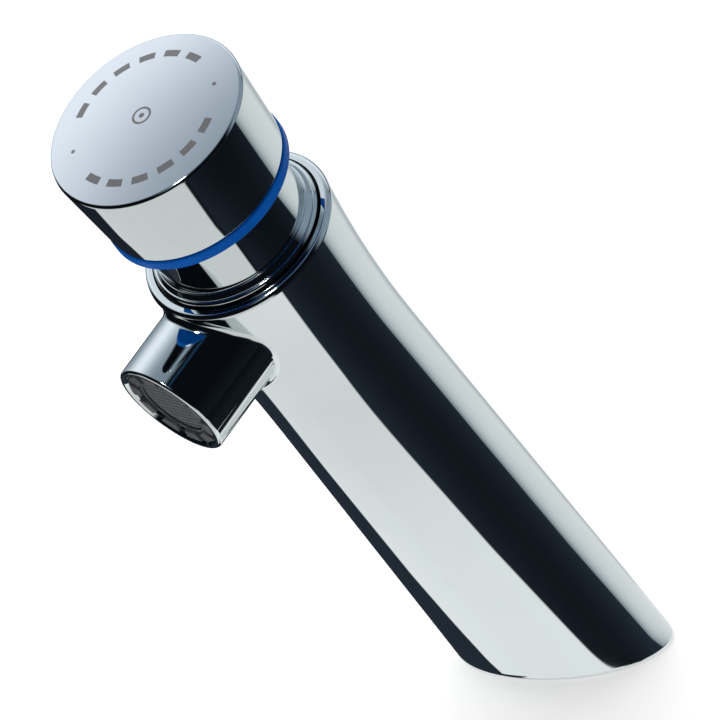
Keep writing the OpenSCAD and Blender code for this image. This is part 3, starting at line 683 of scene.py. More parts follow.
class BodyForm:
    """The body's turned outside as a function of a row number, and the curves that meet it."""

    def __init__(self, z):
        (self.len, base_d, waist_d, rim_d, flare, self.blend, self.rim_round) = mm(
            z, "body_len", "base_d", "waist_d", "rim_d", "flare_len", "waist_blend", "rim_round")
        self.base_r, self.waist_r = base_d / 2, waist_d / 2
        self.waist = self.len - flare
        rise, grow = flare - self.rim_round, (rim_d - waist_d) / 2
        self.flare_r = (rise * rise + grow * grow) / (2 * grow)
        self.taper = (self.base_r - self.waist_r) / self.waist
        lean = 0.0
        for _ in range(RIM_PASSES):
            self.rim_s = self.len - self.rim_round * (1 + math.sin(lean))
            lean = math.atan(self.slope(self.rim_s))
        self.rim_lean = lean
        self.rim_mid_r = float(self.radius(self.rim_s)) - self.rim_round * math.cos(lean)

    def flare_at(self, s):
        """Radius of the flare's arc."""
        return self.waist_r + self.flare_r - np.sqrt(self.flare_r ** 2 - (s - self.waist) ** 2)

    def flare_slope(self, s):
        """Slope of the flare's arc."""
        return (s - self.waist) / np.sqrt(self.flare_r ** 2 - (s - self.waist) ** 2)

    def blended(self, s):
        """Radius and slope: taper below the waist, flare above it, one smooth curve between them."""
        s = np.asarray(s, float)
        a, b = self.waist - self.blend, self.waist + self.blend
        h = b - a
        t = np.clip((s - a) / h, 0, 1)
        p0, m0 = self.base_r - self.taper * a, -self.taper * h
        p1, m1 = self.flare_at(b), self.flare_slope(b) * h
        r = ((2 * t ** 3 - 3 * t ** 2 + 1) * p0 + (t ** 3 - 2 * t ** 2 + t) * m0
             + (3 * t ** 2 - 2 * t ** 3) * p1 + (t ** 3 - t ** 2) * m1)
        dr = ((6 * t ** 2 - 6 * t) * p0 + (3 * t ** 2 - 4 * t + 1) * m0
              + (6 * t - 6 * t ** 2) * p1 + (3 * t ** 2 - 2 * t) * m1) / h
        over = np.clip(s, b, None)
        r = np.where(s < a, self.base_r - self.taper * s, np.where(s > b, self.flare_at(over), r))
        dr = np.where(s < a, -self.taper, np.where(s > b, self.flare_slope(over), dr))
        return r, dr

    def radius(self, s):
        """Radius at stations."""
        return self.blended(s)[0]

    def slope(self, s):
        """Growth of the radius along the axis."""
        return self.blended(s)[1]

    def at_station(self, s):
        """r, s, nr, ns at stations below the rim's rounding."""
        r, dr = self.blended(s)
        long = np.sqrt(1 + dr * dr)
        return r, np.asarray(s, float), 1 / long, -dr / long

    def at_row(self, row):
        """r, s, nr, ns at a row number: flare rows first, then those of the rim's rounding."""
        row = np.asarray(row, float)
        low = self.at_station(FLARE_FOOT + (self.rim_s - FLARE_FOOT) * np.clip(row / FLARE_ROWS, 0, 1))
        t = -self.rim_lean + (math.pi / 2 + self.rim_lean) * np.clip((row - FLARE_ROWS) / RIM_ROWS, 0, 1)
        high = (self.rim_mid_r + self.rim_round * np.cos(t),
                self.len - self.rim_round + self.rim_round * np.sin(t), np.cos(t), np.sin(t))
        return [np.where(row > FLARE_ROWS, over, under) for over, under in zip(high, low)]


def around(theta):
    """Directions square to the axis."""
    return np.cos(theta)[:, None] * OUT + np.sin(theta)[:, None] * ACROSS


def on_form(values, theta):
    """Points and normals of the turned outside at angles."""
    r, s, nr, ns = (np.broadcast_to(v, theta.shape)[:, None] for v in values)
    spoke = around(theta)
    return r * spoke + s * UP, nr * spoke + ns * UP


def at_height(r, theta, z):
    """Points of a leaning cylinder at a height above the deck."""
    spoke = around(theta)
    s = (z - r * spoke[:, 2]) / UP[2]
    return r * spoke + s[:, None] * UP


def body_mesh(z):
    """Closed mesh of the body."""
    form, skin = BodyForm(z), Skin()
    theta = 2 * math.pi * np.arange(AROUND) / AROUND
    spokes = around(theta)
    rows = FLARE_ROWS + RIM_ROWS

    # rounded base edge: a ball inside the wall that touches the deck
    toe, heel = mm(z, "base_round", "base_heel_round")
    ball = heel + (toe - heel) * ((1 + np.cos(theta)) / 2) ** TOE_FADE
    side_n = unit(spokes + form.taper * UP)
    lift = form.base_r * spokes[:, 2] - ball * side_n[:, 2]
    edge_s = (ball - lift) / (UP[2] - form.taper * spokes[:, 2])
    edge_p = edge_s[:, None] * UP + (form.base_r - form.taper * edge_s)[:, None] * spokes
    middle = edge_p - ball[:, None] * side_n
    edge_ids = skin.add(edge_p)
    down = np.broadcast_to(FLOOR_DOWN, side_n.shape)
    ways = [swing(side_n, down, k / EDGE_ROWS) for k in range(1, EDGE_ROWS + 1)]
    ids, _ = skin.strip(edge_ids, side_n, [(middle + ball[:, None] * way, way) for way in ways])

    # underside with the gasket's groove, then the bores up to the rim
    groove_out, groove_in, groove_h, chamber, pocket, depth, wall, way_d = mm(
        z, "groove_out_d", "groove_in_d", "groove_h", "chamber_d", "pocket_d", "pocket_depth", "partition_h",
        "seat_way_d")
    floor_s = form.len - depth
    # the groove and the bores get the dull finish: partly bare metal, partly painted shade
    skin.kind = DULL_AND_SHADE
    mouth, _ = skin.strip(ids, None, [
        (at_height(groove_out / 2, theta, 0.0), FLOOR_DOWN),
        (at_height(groove_out / 2, theta, groove_h), -spokes),
        (at_height(groove_in / 2, theta, groove_h), FLOOR_DOWN),
        (at_height(groove_in / 2, theta, 0.0), spokes),
        (at_height(chamber / 2, theta, 0.0), FLOOR_DOWN),
        (chamber / 2 * spokes + (floor_s - wall) * UP, -spokes),
        (way_d / 2 * spokes + (floor_s - wall) * UP, -UP),
        (way_d / 2 * spokes + floor_s * UP, -spokes),
        (pocket / 2 * spokes + floor_s * UP, UP),
        (pocket / 2 * spokes + form.len * UP, -spokes),
    ], flat=True)
    skin.kind = BRIGHT

    # turned outside below the spout
    ids, normals = skin.strip(edge_ids, side_n, [
        on_form(form.at_station(edge_s + (FLARE_FOOT - edge_s) * k / LOWER_ROWS), theta)
        for k in range(1, LOWER_ROWS + 1)])

    # turned outside beside and behind the spout, up over the rim
    keep = slice(WINDOW, AROUND - WINDOW + 1)
    grid, grid_n = {0: ids}, {0: normals}
    for k in range(1, rows + 1):
        points, n = on_form(form.at_row(np.full(AROUND, float(k))), theta)
        if k == rows:
            grid[k] = skin.add(points)
        else:
            grid[k] = np.full(AROUND, -1)
            grid[k][keep] = skin.add(points[keep])
        grid_n[k] = n
        skin.join(grid[k - 1][keep], grid_n[k - 1][keep], grid[k][keep], n[keep], closed=False)

    # narrow gap inside the rim, in the dull finish, whose very dark tone is partly painted shade
    gap, gap_h = mm(z, "rim_gap_d", "rim_gap_h")
    ledge_r, gap_r, gap_s = gap / 2 - LEDGE, gap / 2, form.len - gap_h
    skin.kind = DULL_AND_SHADE
    ids, _ = skin.strip(mouth, None, [(r * spokes + s * UP, n) for r, s, n in [
        (ledge_r, form.len, UP), (ledge_r, gap_s, spokes), (gap_r, gap_s, UP), (gap_r, form.len, -spokes),
    ]], flat=True)
    skin.kind = BRIGHT
    skin.join(ids, UP, grid[rows], UP)

    # curve on which a ball that rolls round the spout's root touches the body
    spout_d, drop, reach, fillet, lip, chamfer, bore, bore_depth = mm(
        z, "spout_d", "spout_drop", "spout_reach", "spout_fillet", "lip_round", "lip_chamfer", "outlet_d",
        "outlet_depth")
    spout_r, spout_s = spout_d / 2, form.len - drop
    table = np.linspace(0, rows, ROOT_TABLE)
    r, s, nr, ns = form.at_row(table)
    off_r, off_s = r + fillet * nr, s + fillet * ns
    root_row = float(np.interp(spout_s, s, table))

    def root(beta):
        """Row, angle round the body and reach of that curve at angles round the spout."""
        station = spout_s + (spout_r + fillet) * np.cos(beta)
        x = (spout_r + fillet) * np.sin(beta)
        row = np.interp(station, off_s, table)
        u = np.sqrt(np.interp(row, table, off_r) ** 2 - x * x)
        return row, np.arctan2(x, u), u

    def bearing(angle, row):
        """Angle round the spout's root on the unrolled body, from the top, clockwise."""
        return np.unwrap(np.arctan2(angle * form.waist_r, (row - root_row) * ROW_STEP))

    beta_fine = np.linspace(0, 2 * math.pi, ROOT_TURN)
    row_fine, angle_fine, _ = root(beta_fine)
    bearing_fine = bearing(angle_fine, row_fine)

    # rings from the window's edge in to that curve
    loop = [(rows, j) for j in range(WINDOW)]
    loop += [(k, WINDOW) for k in range(rows, 0, -1)]
    loop += [(0, j) for j in range(WINDOW, -WINDOW, -1)]
    loop += [(k, -WINDOW) for k in range(rows)]
    loop += [(rows, j) for j in range(-WINDOW, 0)]
    edge_row = np.array([float(k) for k, _ in loop])
    edge_angle = np.array([2 * math.pi * j / AROUND for _, j in loop])
    beta = np.interp(bearing(edge_angle, edge_row), bearing_fine, beta_fine)
    root_r, root_a, root_u = root(beta)
    ring_ids = np.array([grid[k][j % AROUND] for k, j in loop])
    ring_n = on_form(form.at_row(edge_row), edge_angle)[1]
    shares = [k / COLLAR_RINGS for k in range(COLLAR_RINGS - 1, -1, -1)]
    ring_ids, ring_n = skin.strip(ring_ids, ring_n, [
        on_form(form.at_row(root_r + (edge_row - root_r) * share), root_a + (edge_angle - root_a) * share)
        for share in shares])

    # fillet, spout, lip and outlet bore
    spine = spout_s * UP
    ray = np.cos(beta)[:, None] * UP + np.sin(beta)[:, None] * ACROSS
    ahead = np.broadcast_to(OUT, ray.shape)
    ball_mid = spine + (spout_r + fillet) * ray + root_u[:, None] * OUT
    ways = [swing(-ring_n, -ray, k / FILLET_ROWS) for k in range(1, FILLET_ROWS + 1)]
    ring_ids, _ = skin.strip(ring_ids, ring_n, [(ball_mid + fillet * way, -way) for way in ways])
    reaches = [root_u + (reach - lip - root_u) * k / SPOUT_ROWS for k in range(1, SPOUT_ROWS + 1)]
    ring_ids, _ = skin.strip(ring_ids, ray, [
        (spine + spout_r * ray + u[:, None] * OUT, ray) for u in reaches], flat=True)
    ways = [math.cos(t) * ray + math.sin(t) * OUT
            for t in (math.pi / 2 * k / EDGE_ROWS for k in range(1, EDGE_ROWS + 1))]
    lip_mid = spine + (spout_r - lip) * ray + (reach - lip) * OUT
    ring_ids, _ = skin.strip(ring_ids, ray, [(lip_mid + lip * way, way) for way in ways])
    bore_r, floor_u = bore / 2, reach - bore_depth
    ring_ids, _ = skin.strip(ring_ids, None, [(spine + r * ray + u * OUT, n) for r, u, n in [
        (bore_r + chamfer, reach, ahead), (bore_r, reach - chamfer, unit(OUT - ray)), (bore_r, floor_u, -ray),
    ]], flat=True)
    # the floor of the outlet's bore gets the dull finish, partly painted shade
    skin.kind = DULL_AND_SHADE
    skin.join(ring_ids, ahead, skin.add(spine + floor_u * OUT), ahead[:1])
    return skin.mesh("plated_body")


# Small roundings of the turned pieces, in millimetres
TURNED_BREAK, COLLAR_HEEL = 0.3, 0.35
MOULD_BREAK, HOLLOW_ROUND = 0.2, 0.8
TRIM_CLEAR, TRIM_HEEL, TRIM_ROUND = 0.05, 0.45, 0.85
BEND_STEPS, CROWN_STEPS, BUTTON_STEPS = 15, 28, 12


def head_mesh(z, body_len):
    """Head with its bright neck, sloping collar, spigot and inner wall."""
    neck, top, bevel, hollow, collar, collar_h, collar_foot, collar_top, collar_round = mm(
        z, "neck_d", "neck_top", "neck_chamfer", "neck_foot_round", "collar_d", "collar_h", "collar_foot_h",
        "collar_top_w", "collar_round")
    trim_h, spigot, spigot_h, groove, groove_h, bore, foot, wall, gland = mm(
        z, "trim_h", "spigot_d", "spigot_h", "seal_groove_d", "seal_groove_h", "head_bore_d", "wall_foot",
        "wall_h", "gland_d")
    low, seat, seal = body_len - spigot_h, body_len + trim_h, body_len - spigot_h / 2
    groove_low, groove_top = seal - groove_h / 2, seal + groove_h / 2
    wall_low, wall_top = body_len + foot, body_len + foot + wall
    return turned("bright_neck", section([
        (bore / 2, low), (spigot / 2, low, TURNED_BREAK),
        (spigot / 2, groove_low), (groove / 2, groove_low), (groove / 2, groove_top),
        (spigot / 2, groove_top), (spigot / 2, seat),
        (collar / 2, seat, COLLAR_HEEL), (collar / 2, seat + collar_foot, collar_round),
        (neck / 2 + collar_top, seat + collar_h, collar_round), (neck / 2, seat + collar_h, hollow),
        (neck / 2, top - bevel, TURNED_BREAK), (neck / 2 - bevel, top, TURNED_BREAK),
        (bore / 2, top, TURNED_BREAK),
        (bore / 2, wall_top), (gland / 2, wall_top), (gland / 2, wall_low), (bore / 2, wall_low),
    ]))


def button_mesh(z):
    """Hollow button with its boss and its domed top."""
    top_d, foot_d, foot, top, dome, top_round, foot_round, bore, roof, boss, boss_h, hole, grip = mm(
        z, "button_d", "button_foot_d", "button_foot", "button_top", "button_dome", "button_round",
        "button_foot_round", "button_bore_d", "button_roof", "boss_d", "boss_h", "stem_hole_d", "stem_grip")
    under = top - roof
    boss_low = under - boss_h
    lean = math.atan((top_d - foot_d) / 2 / (top - foot))
    edge_r, edge_s = top_d / 2 - top_round, top - top_round
    dome_r = (edge_r * edge_r + dome * dome) / (2 * dome)
    tilt = math.asin(edge_r / (dome_r - top_round))
    # rounded edge from the leaning side round to the dome, then the dome up to its middle
    bend = [(edge_r + top_round * math.cos(q), edge_s + top_round * math.sin(q), math.cos(q), math.sin(q))
            for q in np.linspace(-lean, math.pi / 2 - tilt, BEND_STEPS)]
    middle = edge_s - (dome_r - top_round) * math.cos(tilt)
    crown = [(dome_r * math.sin(q), middle + dome_r * math.cos(q), math.sin(q), math.cos(q))
             for q in np.linspace(tilt, 0.0, CROWN_STEPS)]
    crown[-1] = (0.0, middle + dome_r, 0.0, 1.0)
    shell = section([
        (bore / 2, foot, MOULD_BREAK), (foot_d / 2, foot, foot_round), bend[0][:2], (0.0, middle + dome_r),
        (0.0, boss_low + grip), (hole / 2, boss_low + grip), (hole / 2, boss_low),
        (boss / 2, boss_low, TURNED_BREAK), (boss / 2, under, HOLLOW_ROUND), (bore / 2, under, HOLLOW_ROUND),
    ], BUTTON_STEPS)
    flat = next(i for i, run in enumerate(shell) if abs(run[-1][0]) < AXIS_R)
    shell[flat:flat + 1] = [bend, crown]
    return turned("push_button_cap", shell)


def colour_ring_mesh(z):
    """Coloured ring with the spigot that holds it in the button."""
    ring, height, bore, spigot, spigot_h, edge, gap, floor, top = mm(
        z, "ring_d", "ring_h", "ring_bore_d", "ring_spigot_d", "ring_spigot_h", "ring_round", "ring_gap_h",
        "ring_gap_d", "button_foot")
    return turned("blue_band", section([
        (bore / 2, top - height, MOULD_BREAK), (ring / 2, top - height, edge), (ring / 2, top - gap, edge),
        (floor / 2, top - gap), (floor / 2, top), (spigot / 2, top),
        (spigot / 2, top + spigot_h, MOULD_BREAK), (bore / 2, top + spigot_h, MOULD_BREAK),
    ]))


def trim_mesh(z, body_len, pocket):
    """Thin bright ring between the collar and the rim, with a bead round the collar."""
    trim, height, bead, collar = mm(z, "trim_d", "trim_h", "trim_bead_h", "collar_d")
    inside = collar / 2 + TRIM_CLEAR
    return turned("bright_trim", section([
        (pocket / 2, body_len), (trim / 2, body_len, TRIM_HEEL), (trim / 2, body_len + bead, TRIM_ROUND),
        (inside, body_len + bead), (inside, body_len + height), (pocket / 2, body_len + height),
    ]))


# Node trees that make what repeats


def new_tree(name, sockets):
    """A geometry tree with named inputs. Returns it with its input and output nodes."""
    tree = bpy.data.node_groups.new(name, "GeometryNodeTree")
    for socket_name, kind in sockets:
        tree.interface.new_socket(socket_name, in_out="INPUT", socket_type=kind)
    tree.interface.new_socket("Geometry", in_out="OUTPUT", socket_type="NodeSocketGeometry")
    return tree, tree.nodes.new("NodeGroupInput").outputs, tree.nodes.new("NodeGroupOutput")


def close_tree(tree, out, geometry, given):
    """Place the result, realize it, shade it smooth and give it its finish."""
    placed = made(tree, "GeometryNodeTransform", Geometry=geometry, Translation=given["Place"],
                  Rotation=given["Turn"])
    real = made(tree, "GeometryNodeRealizeInstances", Geometry=placed)
    smooth = made(tree, "GeometryNodeSetShadeSmooth", Geometry=real)
    finished = made(tree, "GeometryNodeSetMaterial", Geometry=smooth, Material=given["Finish"])
    tree.links.new(finished, out.inputs[0])


def grown(name, tree, values, base=None):
    """Plain mesh that a tree makes from its values, set by each socket's identifier."""
    carrier = bpy.data.objects.new(name, base or bpy.data.meshes.new(name))
    bpy.context.scene.collection.objects.link(carrier)
    modifier = carrier.modifiers.new(name, "NODES")
    modifier.node_group = tree
    sockets = {i.name: i.identifier for i in tree.interface.items_tree if i.in_out == "INPUT"}
    for key, value in values.items():
        modifier[sockets[key]] = value
    graph = bpy.context.evaluated_depsgraph_get()
    mesh = bpy.data.meshes.new_from_object(carrier.evaluated_get(graph))
    carrier.modifiers.clear()
    bpy.data.objects.remove(carrier)
    mesh.name = name
    return mesh


PLACE_SOCKETS = [("Place", "NodeSocketVector"), ("Turn", "NodeSocketVector"),
                 ("Finish", "NodeSocketMaterial")]
# Mesh wire: its sides, its points in each pitch, and the least square of half its length
WIRE_SIDES, WIRE_BENDS, WIRE_LEAST = 5, 4.0, 1e-9
# Spring wire: its sides, and its points in each turn
COIL_SIDES, COIL_BENDS = 14, 40
# Teeth: columns, steps of the softened edges, least angle of those edges, depth below the slots' floor
TOOTH_COLUMNS, TOOTH_BEVELS, TOOTH_SHARP, TOOTH_SUNK = 8, 2, math.radians(40), 0.3
# Key ring: columns, steps of its roundings, and in millimetres the step round its bore and its roundings
KEY_SIDES, KEY_STEPS = 160, 6
KEY_LIP, KEY_HEEL, KEY_RIM, KEY_OPENING = 0.12, 0.2, 0.1, 0.12


def woven_tree():
    """Plain-woven round mesh: two sets of wires that pass over and under each other."""
    tree, given, out = new_tree("woven_mesh", [
        ("Radius", "NodeSocketFloat"), ("Pitch", "NodeSocketFloat"), ("Wire radius", "NodeSocketFloat"),
        ("Wires", "NodeSocketInt"), ("Weave", "NodeSocketVector"), *PLACE_SOCKETS])
    radius, pitch, wire_r, wires = (given[name] for name in ("Radius", "Pitch", "Wire radius", "Wires"))

    def calc(operation, a, b=0.0):
        return math_node(tree, operation, a, b)

    # straight wires side by side, as long as the round mesh is wide there
    first = calc("MULTIPLY", calc("MULTIPLY", calc("SUBTRACT", wires, 1.0), pitch), -0.5)
    start = made(tree, "ShaderNodeCombineXYZ", Y=first)
    step = made(tree, "ShaderNodeCombineXYZ", Y=pitch)
    line = made(tree, "GeometryNodeMeshLine", Count=wires, Start_Location=start, Offset=step)
    place = made(tree, "GeometryNodeInputPosition")
    x, y, _ = add(tree, "ShaderNodeSeparateXYZ", None, Vector=place).outputs
    square = calc("SUBTRACT", calc("MULTIPLY", radius, radius), calc("MULTIPLY", y, y))
    half = calc("SQRT", calc("MAXIMUM", square, WIRE_LEAST))
    size = made(tree, "ShaderNodeCombineXYZ", X=half, Y=1.0, Z=1.0)
    wire = made(tree, "GeometryNodeCurvePrimitiveLine", Start=(-1.0, 0.0, 0.0), End=(1.0, 0.0, 0.0))
    rows = made(tree, "GeometryNodeInstanceOnPoints", Points=line, Instance=wire, Scale=size)
    rows = made(tree, "GeometryNodeRealizeInstances", Geometry=rows)
    rows = made(tree, "GeometryNodeResampleCurve", {"mode": "LENGTH"}, Curve=rows,
                Length=calc("DIVIDE", pitch, WIRE_BENDS))

    # both sets, each bent over and under the other
    profile = made(tree, "GeometryNodeCurvePrimitiveCircle", Resolution=WIRE_SIDES, Radius=wire_r)
    waves = [calc("COSINE", calc("MULTIPLY", calc("DIVIDE", part, pitch), math.pi)) for part in (x, y)]
    wave = calc("MULTIPLY", calc("MULTIPLY", *waves), wire_r)
    join = tree.nodes.new("GeometryNodeJoinGeometry")
    for turn, sign in ((0.0, 1.0), (math.pi / 2, -1.0)):
        laid = made(tree, "GeometryNodeTransform", Geometry=rows, Rotation=(0.0, 0.0, turn))
        lift = made(tree, "ShaderNodeCombineXYZ", Z=calc("MULTIPLY", wave, sign))
        bent = made(tree, "GeometryNodeSetPosition", Geometry=laid, Offset=lift)
        tube = made(tree, "GeometryNodeCurveToMesh", Curve=bent, Profile_Curve=profile, Fill_Caps=True)
        tree.links.new(tube, join.inputs[0])
    woven = made(tree, "GeometryNodeTransform", Geometry=join.outputs[0], Rotation=given["Weave"])
    close_tree(tree, out, woven, given)
    return tree


def key_ring_tree():
    """Ring of key teeth: one tooth repeated round the plain ring."""
    tree, given, out = new_tree("key_teeth", [
        ("Ring", "NodeSocketGeometry"), ("Tooth", "NodeSocketObject"), ("Teeth", "NodeSocketInt"),
        *PLACE_SOCKETS])
    tooth = add(tree, "GeometryNodeObjectInfo", None, Object=given["Tooth"]).outputs["Geometry"]
    points = made(tree, "GeometryNodePoints", Count=given["Teeth"])
    number = made(tree, "GeometryNodeInputIndex")
    angle = math_node(tree, "DIVIDE", math_node(tree, "MULTIPLY", number, 2 * math.pi), given["Teeth"])
    turn = made(tree, "ShaderNodeCombineXYZ", Z=angle)
    teeth = made(tree, "GeometryNodeInstanceOnPoints", Points=points, Instance=tooth, Rotation=turn)
    teeth = made(tree, "GeometryNodeRealizeInstances", Geometry=teeth)
    join = tree.nodes.new("GeometryNodeJoinGeometry")
    tree.links.new(teeth, join.inputs[0])
    tree.links.new(given["Ring"], join.inputs[0])
    close_tree(tree, out, join.outputs[0], given)
    return tree


def spring_tree():
    """Round wire wound to a coil."""
    tree, given, out = new_tree("coil", [
        ("Turns", "NodeSocketFloat"), ("Coil radius", "NodeSocketFloat"), ("Rise", "NodeSocketFloat"),
        ("Wire radius", "NodeSocketFloat"), *PLACE_SOCKETS])
    coil = made(tree, "GeometryNodeCurveSpiral", Resolution=COIL_BENDS, Rotations=given["Turns"],
                Start_Radius=given["Coil radius"], End_Radius=given["Coil radius"], Height=given["Rise"])
    profile = made(tree, "GeometryNodeCurvePrimitiveCircle", Resolution=COIL_SIDES,
                   Radius=given["Wire radius"])
    wire = made(tree, "GeometryNodeCurveToMesh", Curve=coil, Profile_Curve=profile, Fill_Caps=True)
    close_tree(tree, out, wire, given)
    return tree


def tooth_piece(z):
    """One tooth of the key ring, between two even slots, with softened edges. The spout is along +Z."""
    outer, inner, step = z.ring_d / 2, z.ring_bore_d / 2, 2 * math.pi / z.teeth
    plan = []
    for r, way in ((outer, 1), (inner, -1)):
        side = math.asin(z.slot_w / 2 / r)
        turns = np.linspace(side, step - side, TOOTH_COLUMNS + 1)[::way]
        plan += [(r * math.cos(t), r * math.sin(t)) for t in turns]
    n = len(plan)
    points = [(x, y, level) for level in (z.tooth_root - TOOTH_SUNK * MM, z.tooth_tip) for x, y in plan]
    faces = [(i, (i + 1) % n, n + (i + 1) % n, n + i) for i in range(n)]
    for i in range(TOOTH_COLUMNS):
        j = n - 1 - i
        faces.append((n + i, n + i + 1, n + j - 1, n + j))
        faces.append((i + 1, i, j, j - 1))
    mesh = bpy.data.meshes.new("tooth")
    mesh.from_pydata(points, [], faces)
    mesh.update()
    tooth = bpy.data.objects.new("tooth", mesh)
    bpy.context.scene.collection.objects.link(tooth)
    bevel = tooth.modifiers.new("edges", "BEVEL")
    bevel.width, bevel.segments = z.tooth_round, TOOTH_BEVELS
    bevel.limit_method, bevel.angle_limit = "ANGLE", TOOTH_SHARP
    graph = bpy.context.evaluated_depsgraph_get()
    soft = bpy.data.meshes.new_from_object(tooth.evaluated_get(graph))
    tooth.modifiers.clear()
    tooth.data = soft
    return tooth


def key_ring_mesh(z):
    """Plain ring that carries the teeth, and the thin rim round the mesh. The spout is along +Z."""
    outer, inner, back, root, front, rim_back, opening = mm(
        z, "ring_d", "ring_bore_d", "ring_back", "tooth_root", "rim_front", "rim_back", "rim_open_d")
    lip = inner / 2 + KEY_LIP
    runs = section([
        (inner / 2, back), (outer / 2, back, KEY_HEEL), (outer / 2, root), (lip, root), (lip, front, KEY_RIM),
        (opening / 2, front, KEY_OPENING), (opening / 2, rim_back), (inner / 2, rim_back),
    ], KEY_STEPS)
    zero, quarter, axis = np.eye(3)
    return revolve(Skin(), runs, KEY_SIDES, np.zeros(3), axis, zero, quarter).mesh("key_ring_base")


# Operators, one for each piece or group of like pieces


class TAP_OT_body(bpy.types.Operator):
    """Build the plated body with its spout."""

    bl_idname = "tap.body"
    bl_label = "Plated body"

    def execute(self, context):
        mesh = body_mesh(context.scene.tap_body)
        # the second finish, the dull bore, is partly painted shade in the bores and the rim's gap
        place_piece(mesh, "tap_body", ["bright_plate", "dull_bore"], ["body"])
        return {"FINISHED"}


class TAP_OT_neck(bpy.types.Operator):
    """Build the head with its bright neck, and the trim ring under it."""

    bl_idname = "tap.neck"
    bl_label = "Neck and trim ring"

    def execute(self, context):
        body, top = context.scene.tap_body, context.scene.tap_top
        body_len, pocket = mm(body, "body_len", "pocket_d")
        neck, trim = head_mesh(top, body_len), trim_mesh(top, body_len, pocket)
        place_piece(neck, "tap_body", ["bright_plate"], ["head"])
        place_piece(trim, "tap_body", ["bright_plate"], ["trim_ring"])
        return {"FINISHED"}


class TAP_OT_button(bpy.types.Operator):
    """Build the push button."""

    bl_idname = "tap.button"
    bl_label = "Push button"

    def execute(self, context):
        mesh = button_mesh(context.scene.tap_top)
        place_piece(mesh, "push_button", ["button_plate"], ["button"])
        return {"FINISHED"}


class TAP_OT_colour_ring(bpy.types.Operator):
    """Build the coloured ring under the button."""

    bl_idname = "tap.colour_ring"
    bl_label = "Coloured ring"

    def execute(self, context):
        mesh = colour_ring_mesh(context.scene.tap_top)
        place_piece(mesh, "push_button", ["blue_ring"], ["colour_ring"])
        return {"FINISHED"}


def spout_place(scene):
    """Where the outlet's local axes go: its +Z along the spout, its +Y up the tap's axis."""
    body_len, drop = mm(scene.tap_body, "body_len", "spout_drop")
    return Vector(UP * (body_len - drop) * MM), Vector((LEAN + math.pi / 2, 0.0, 0.0))


class TAP_OT_outlet(bpy.types.Operator):
    """Build the outlet's key ring and its woven mesh."""

    bl_idname = "tap.outlet"
    bl_label = "Outlet"

    def execute(self, context):
        scene, z = context.scene, context.scene.tap_outlet
        place, turn = spout_place(scene)
        # The key ring's grey is partly painted shade of the outlet's hollow
        # The mesh's tone is partly painted shade inside the outlet
        grey, steel = finish_named("grey_moulding"), finish_named("mesh_wire")
        tooth = tooth_piece(z)
        ring = grown("key_ring", key_ring_tree(), {
            "Tooth": tooth, "Teeth": z.teeth, "Place": place, "Turn": turn, "Finish": grey}, key_ring_mesh(z))
        bpy.data.objects.remove(tooth)
        place_piece(ring, "tap_body", [], ["aerator_ring"])
        wires = 2 * int(z.mesh_d / 2 / z.pitch) + 1
        woven = grown("outlet_mesh", woven_tree(), {
            "Radius": z.mesh_d / 2, "Pitch": z.pitch, "Wire radius": z.wire_d / 2, "Wires": wires,
            "Place": place + Vector(OUT * z.mesh_front), "Turn": turn, "Weave": Vector((0.0, 0.0, z.weave)),
            "Finish": steel})
        place_piece(woven, "tap_body", [], ["aerator_screen"])
        return {"FINISHED"}


class TAP_OT_spring(bpy.types.Operator):
    """Build the return spring at its length at rest; in the tap it shortens when the button is pressed."""

    bl_idname = "tap.spring"
    bl_label = "Return spring"

    def execute(self, context):
        z = context.scene.tap_outlet
        foot = Vector(UP * z.spring_foot)
        coil = grown("return_coil", spring_tree(), {
            "Turns": z.turns, "Coil radius": z.coil_d / 2, "Rise": z.spring_len - z.coil_wire_d,
            "Wire radius": z.coil_wire_d / 2, "Place": foot + Vector(UP * z.coil_wire_d / 2),
            "Turn": Vector((LEAN, 0.0, 0.0)), "Finish": finish_named("steel_wire")})
        piece = place_piece(coil, "tap_body", [], ["return_spring"])
        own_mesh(piece)
        return {"FINISHED"}


class TAP_OT_inner(bpy.types.Operator):
    """Give the inner pieces their finishes."""

    bl_idname = "tap.inner"
    bl_label = "Inner pieces"

    def execute(self, context):
        for finish, nodes in INNER_FINISH.items():
            for name in nodes:
                mesh = frame["nodes"][name].data
                mesh.materials.clear()
                mesh.materials.append(finish_named(finish))
        return {"FINISHED"}


# Studio


def glow(name, strength=1.0, sampled=False):
    """Card that shows the tones painted on its points."""
    material, tree = bare_material(name)
    tone = add(tree, "ShaderNodeAttribute", {"attribute_name": "tone"}).outputs["Color"]
    show(tree, add(tree, "ShaderNodeEmission", None, Color=tone, Strength=strength))
    material.cycles.emission_sampling = "FRONT_BACK" if sampled else "NONE"
    return material


def card(name, points, faces, tones, material):
    """Card of the studio that only reflections show."""
    mesh = bpy.data.meshes.new(name)
    mesh.from_pydata(np.asarray(points).tolist(), [], faces)
    paint = mesh.attributes.new("tone", "FLOAT_COLOR", "POINT")
    paint.data.foreach_set("color", np.column_stack([tones, np.ones(len(points))]).ravel())
    mesh.materials.append(material)
    obj = bpy.data.objects.new(name, mesh)
    bpy.context.scene.collection.objects.link(obj)
    for way in ("camera", "diffuse", "transmission", "volume_scatter", "shadow"):
        setattr(obj, "visible_" + way, False)
    return obj


def sheet_faces(rows, cols):
    """Faces of a sheet of points laid out in rows."""
    return [(r * cols + c, r * cols + c + 1, (r + 1) * cols + c + 1, (r + 1) * cols + c)
            for r in range(rows - 1) for c in range(cols - 1)]


def ease(value, low, high):
    """Smooth step from nought at low to one at high."""
    t = np.clip((value - low) / (high - low), 0, 1)
    return t * t * (3 - 2 * t)


def band(value, rise, fall):
    """Smooth step up over one span and down again over another."""
    return ease(value, *rise) * (1 - ease(value, *fall))


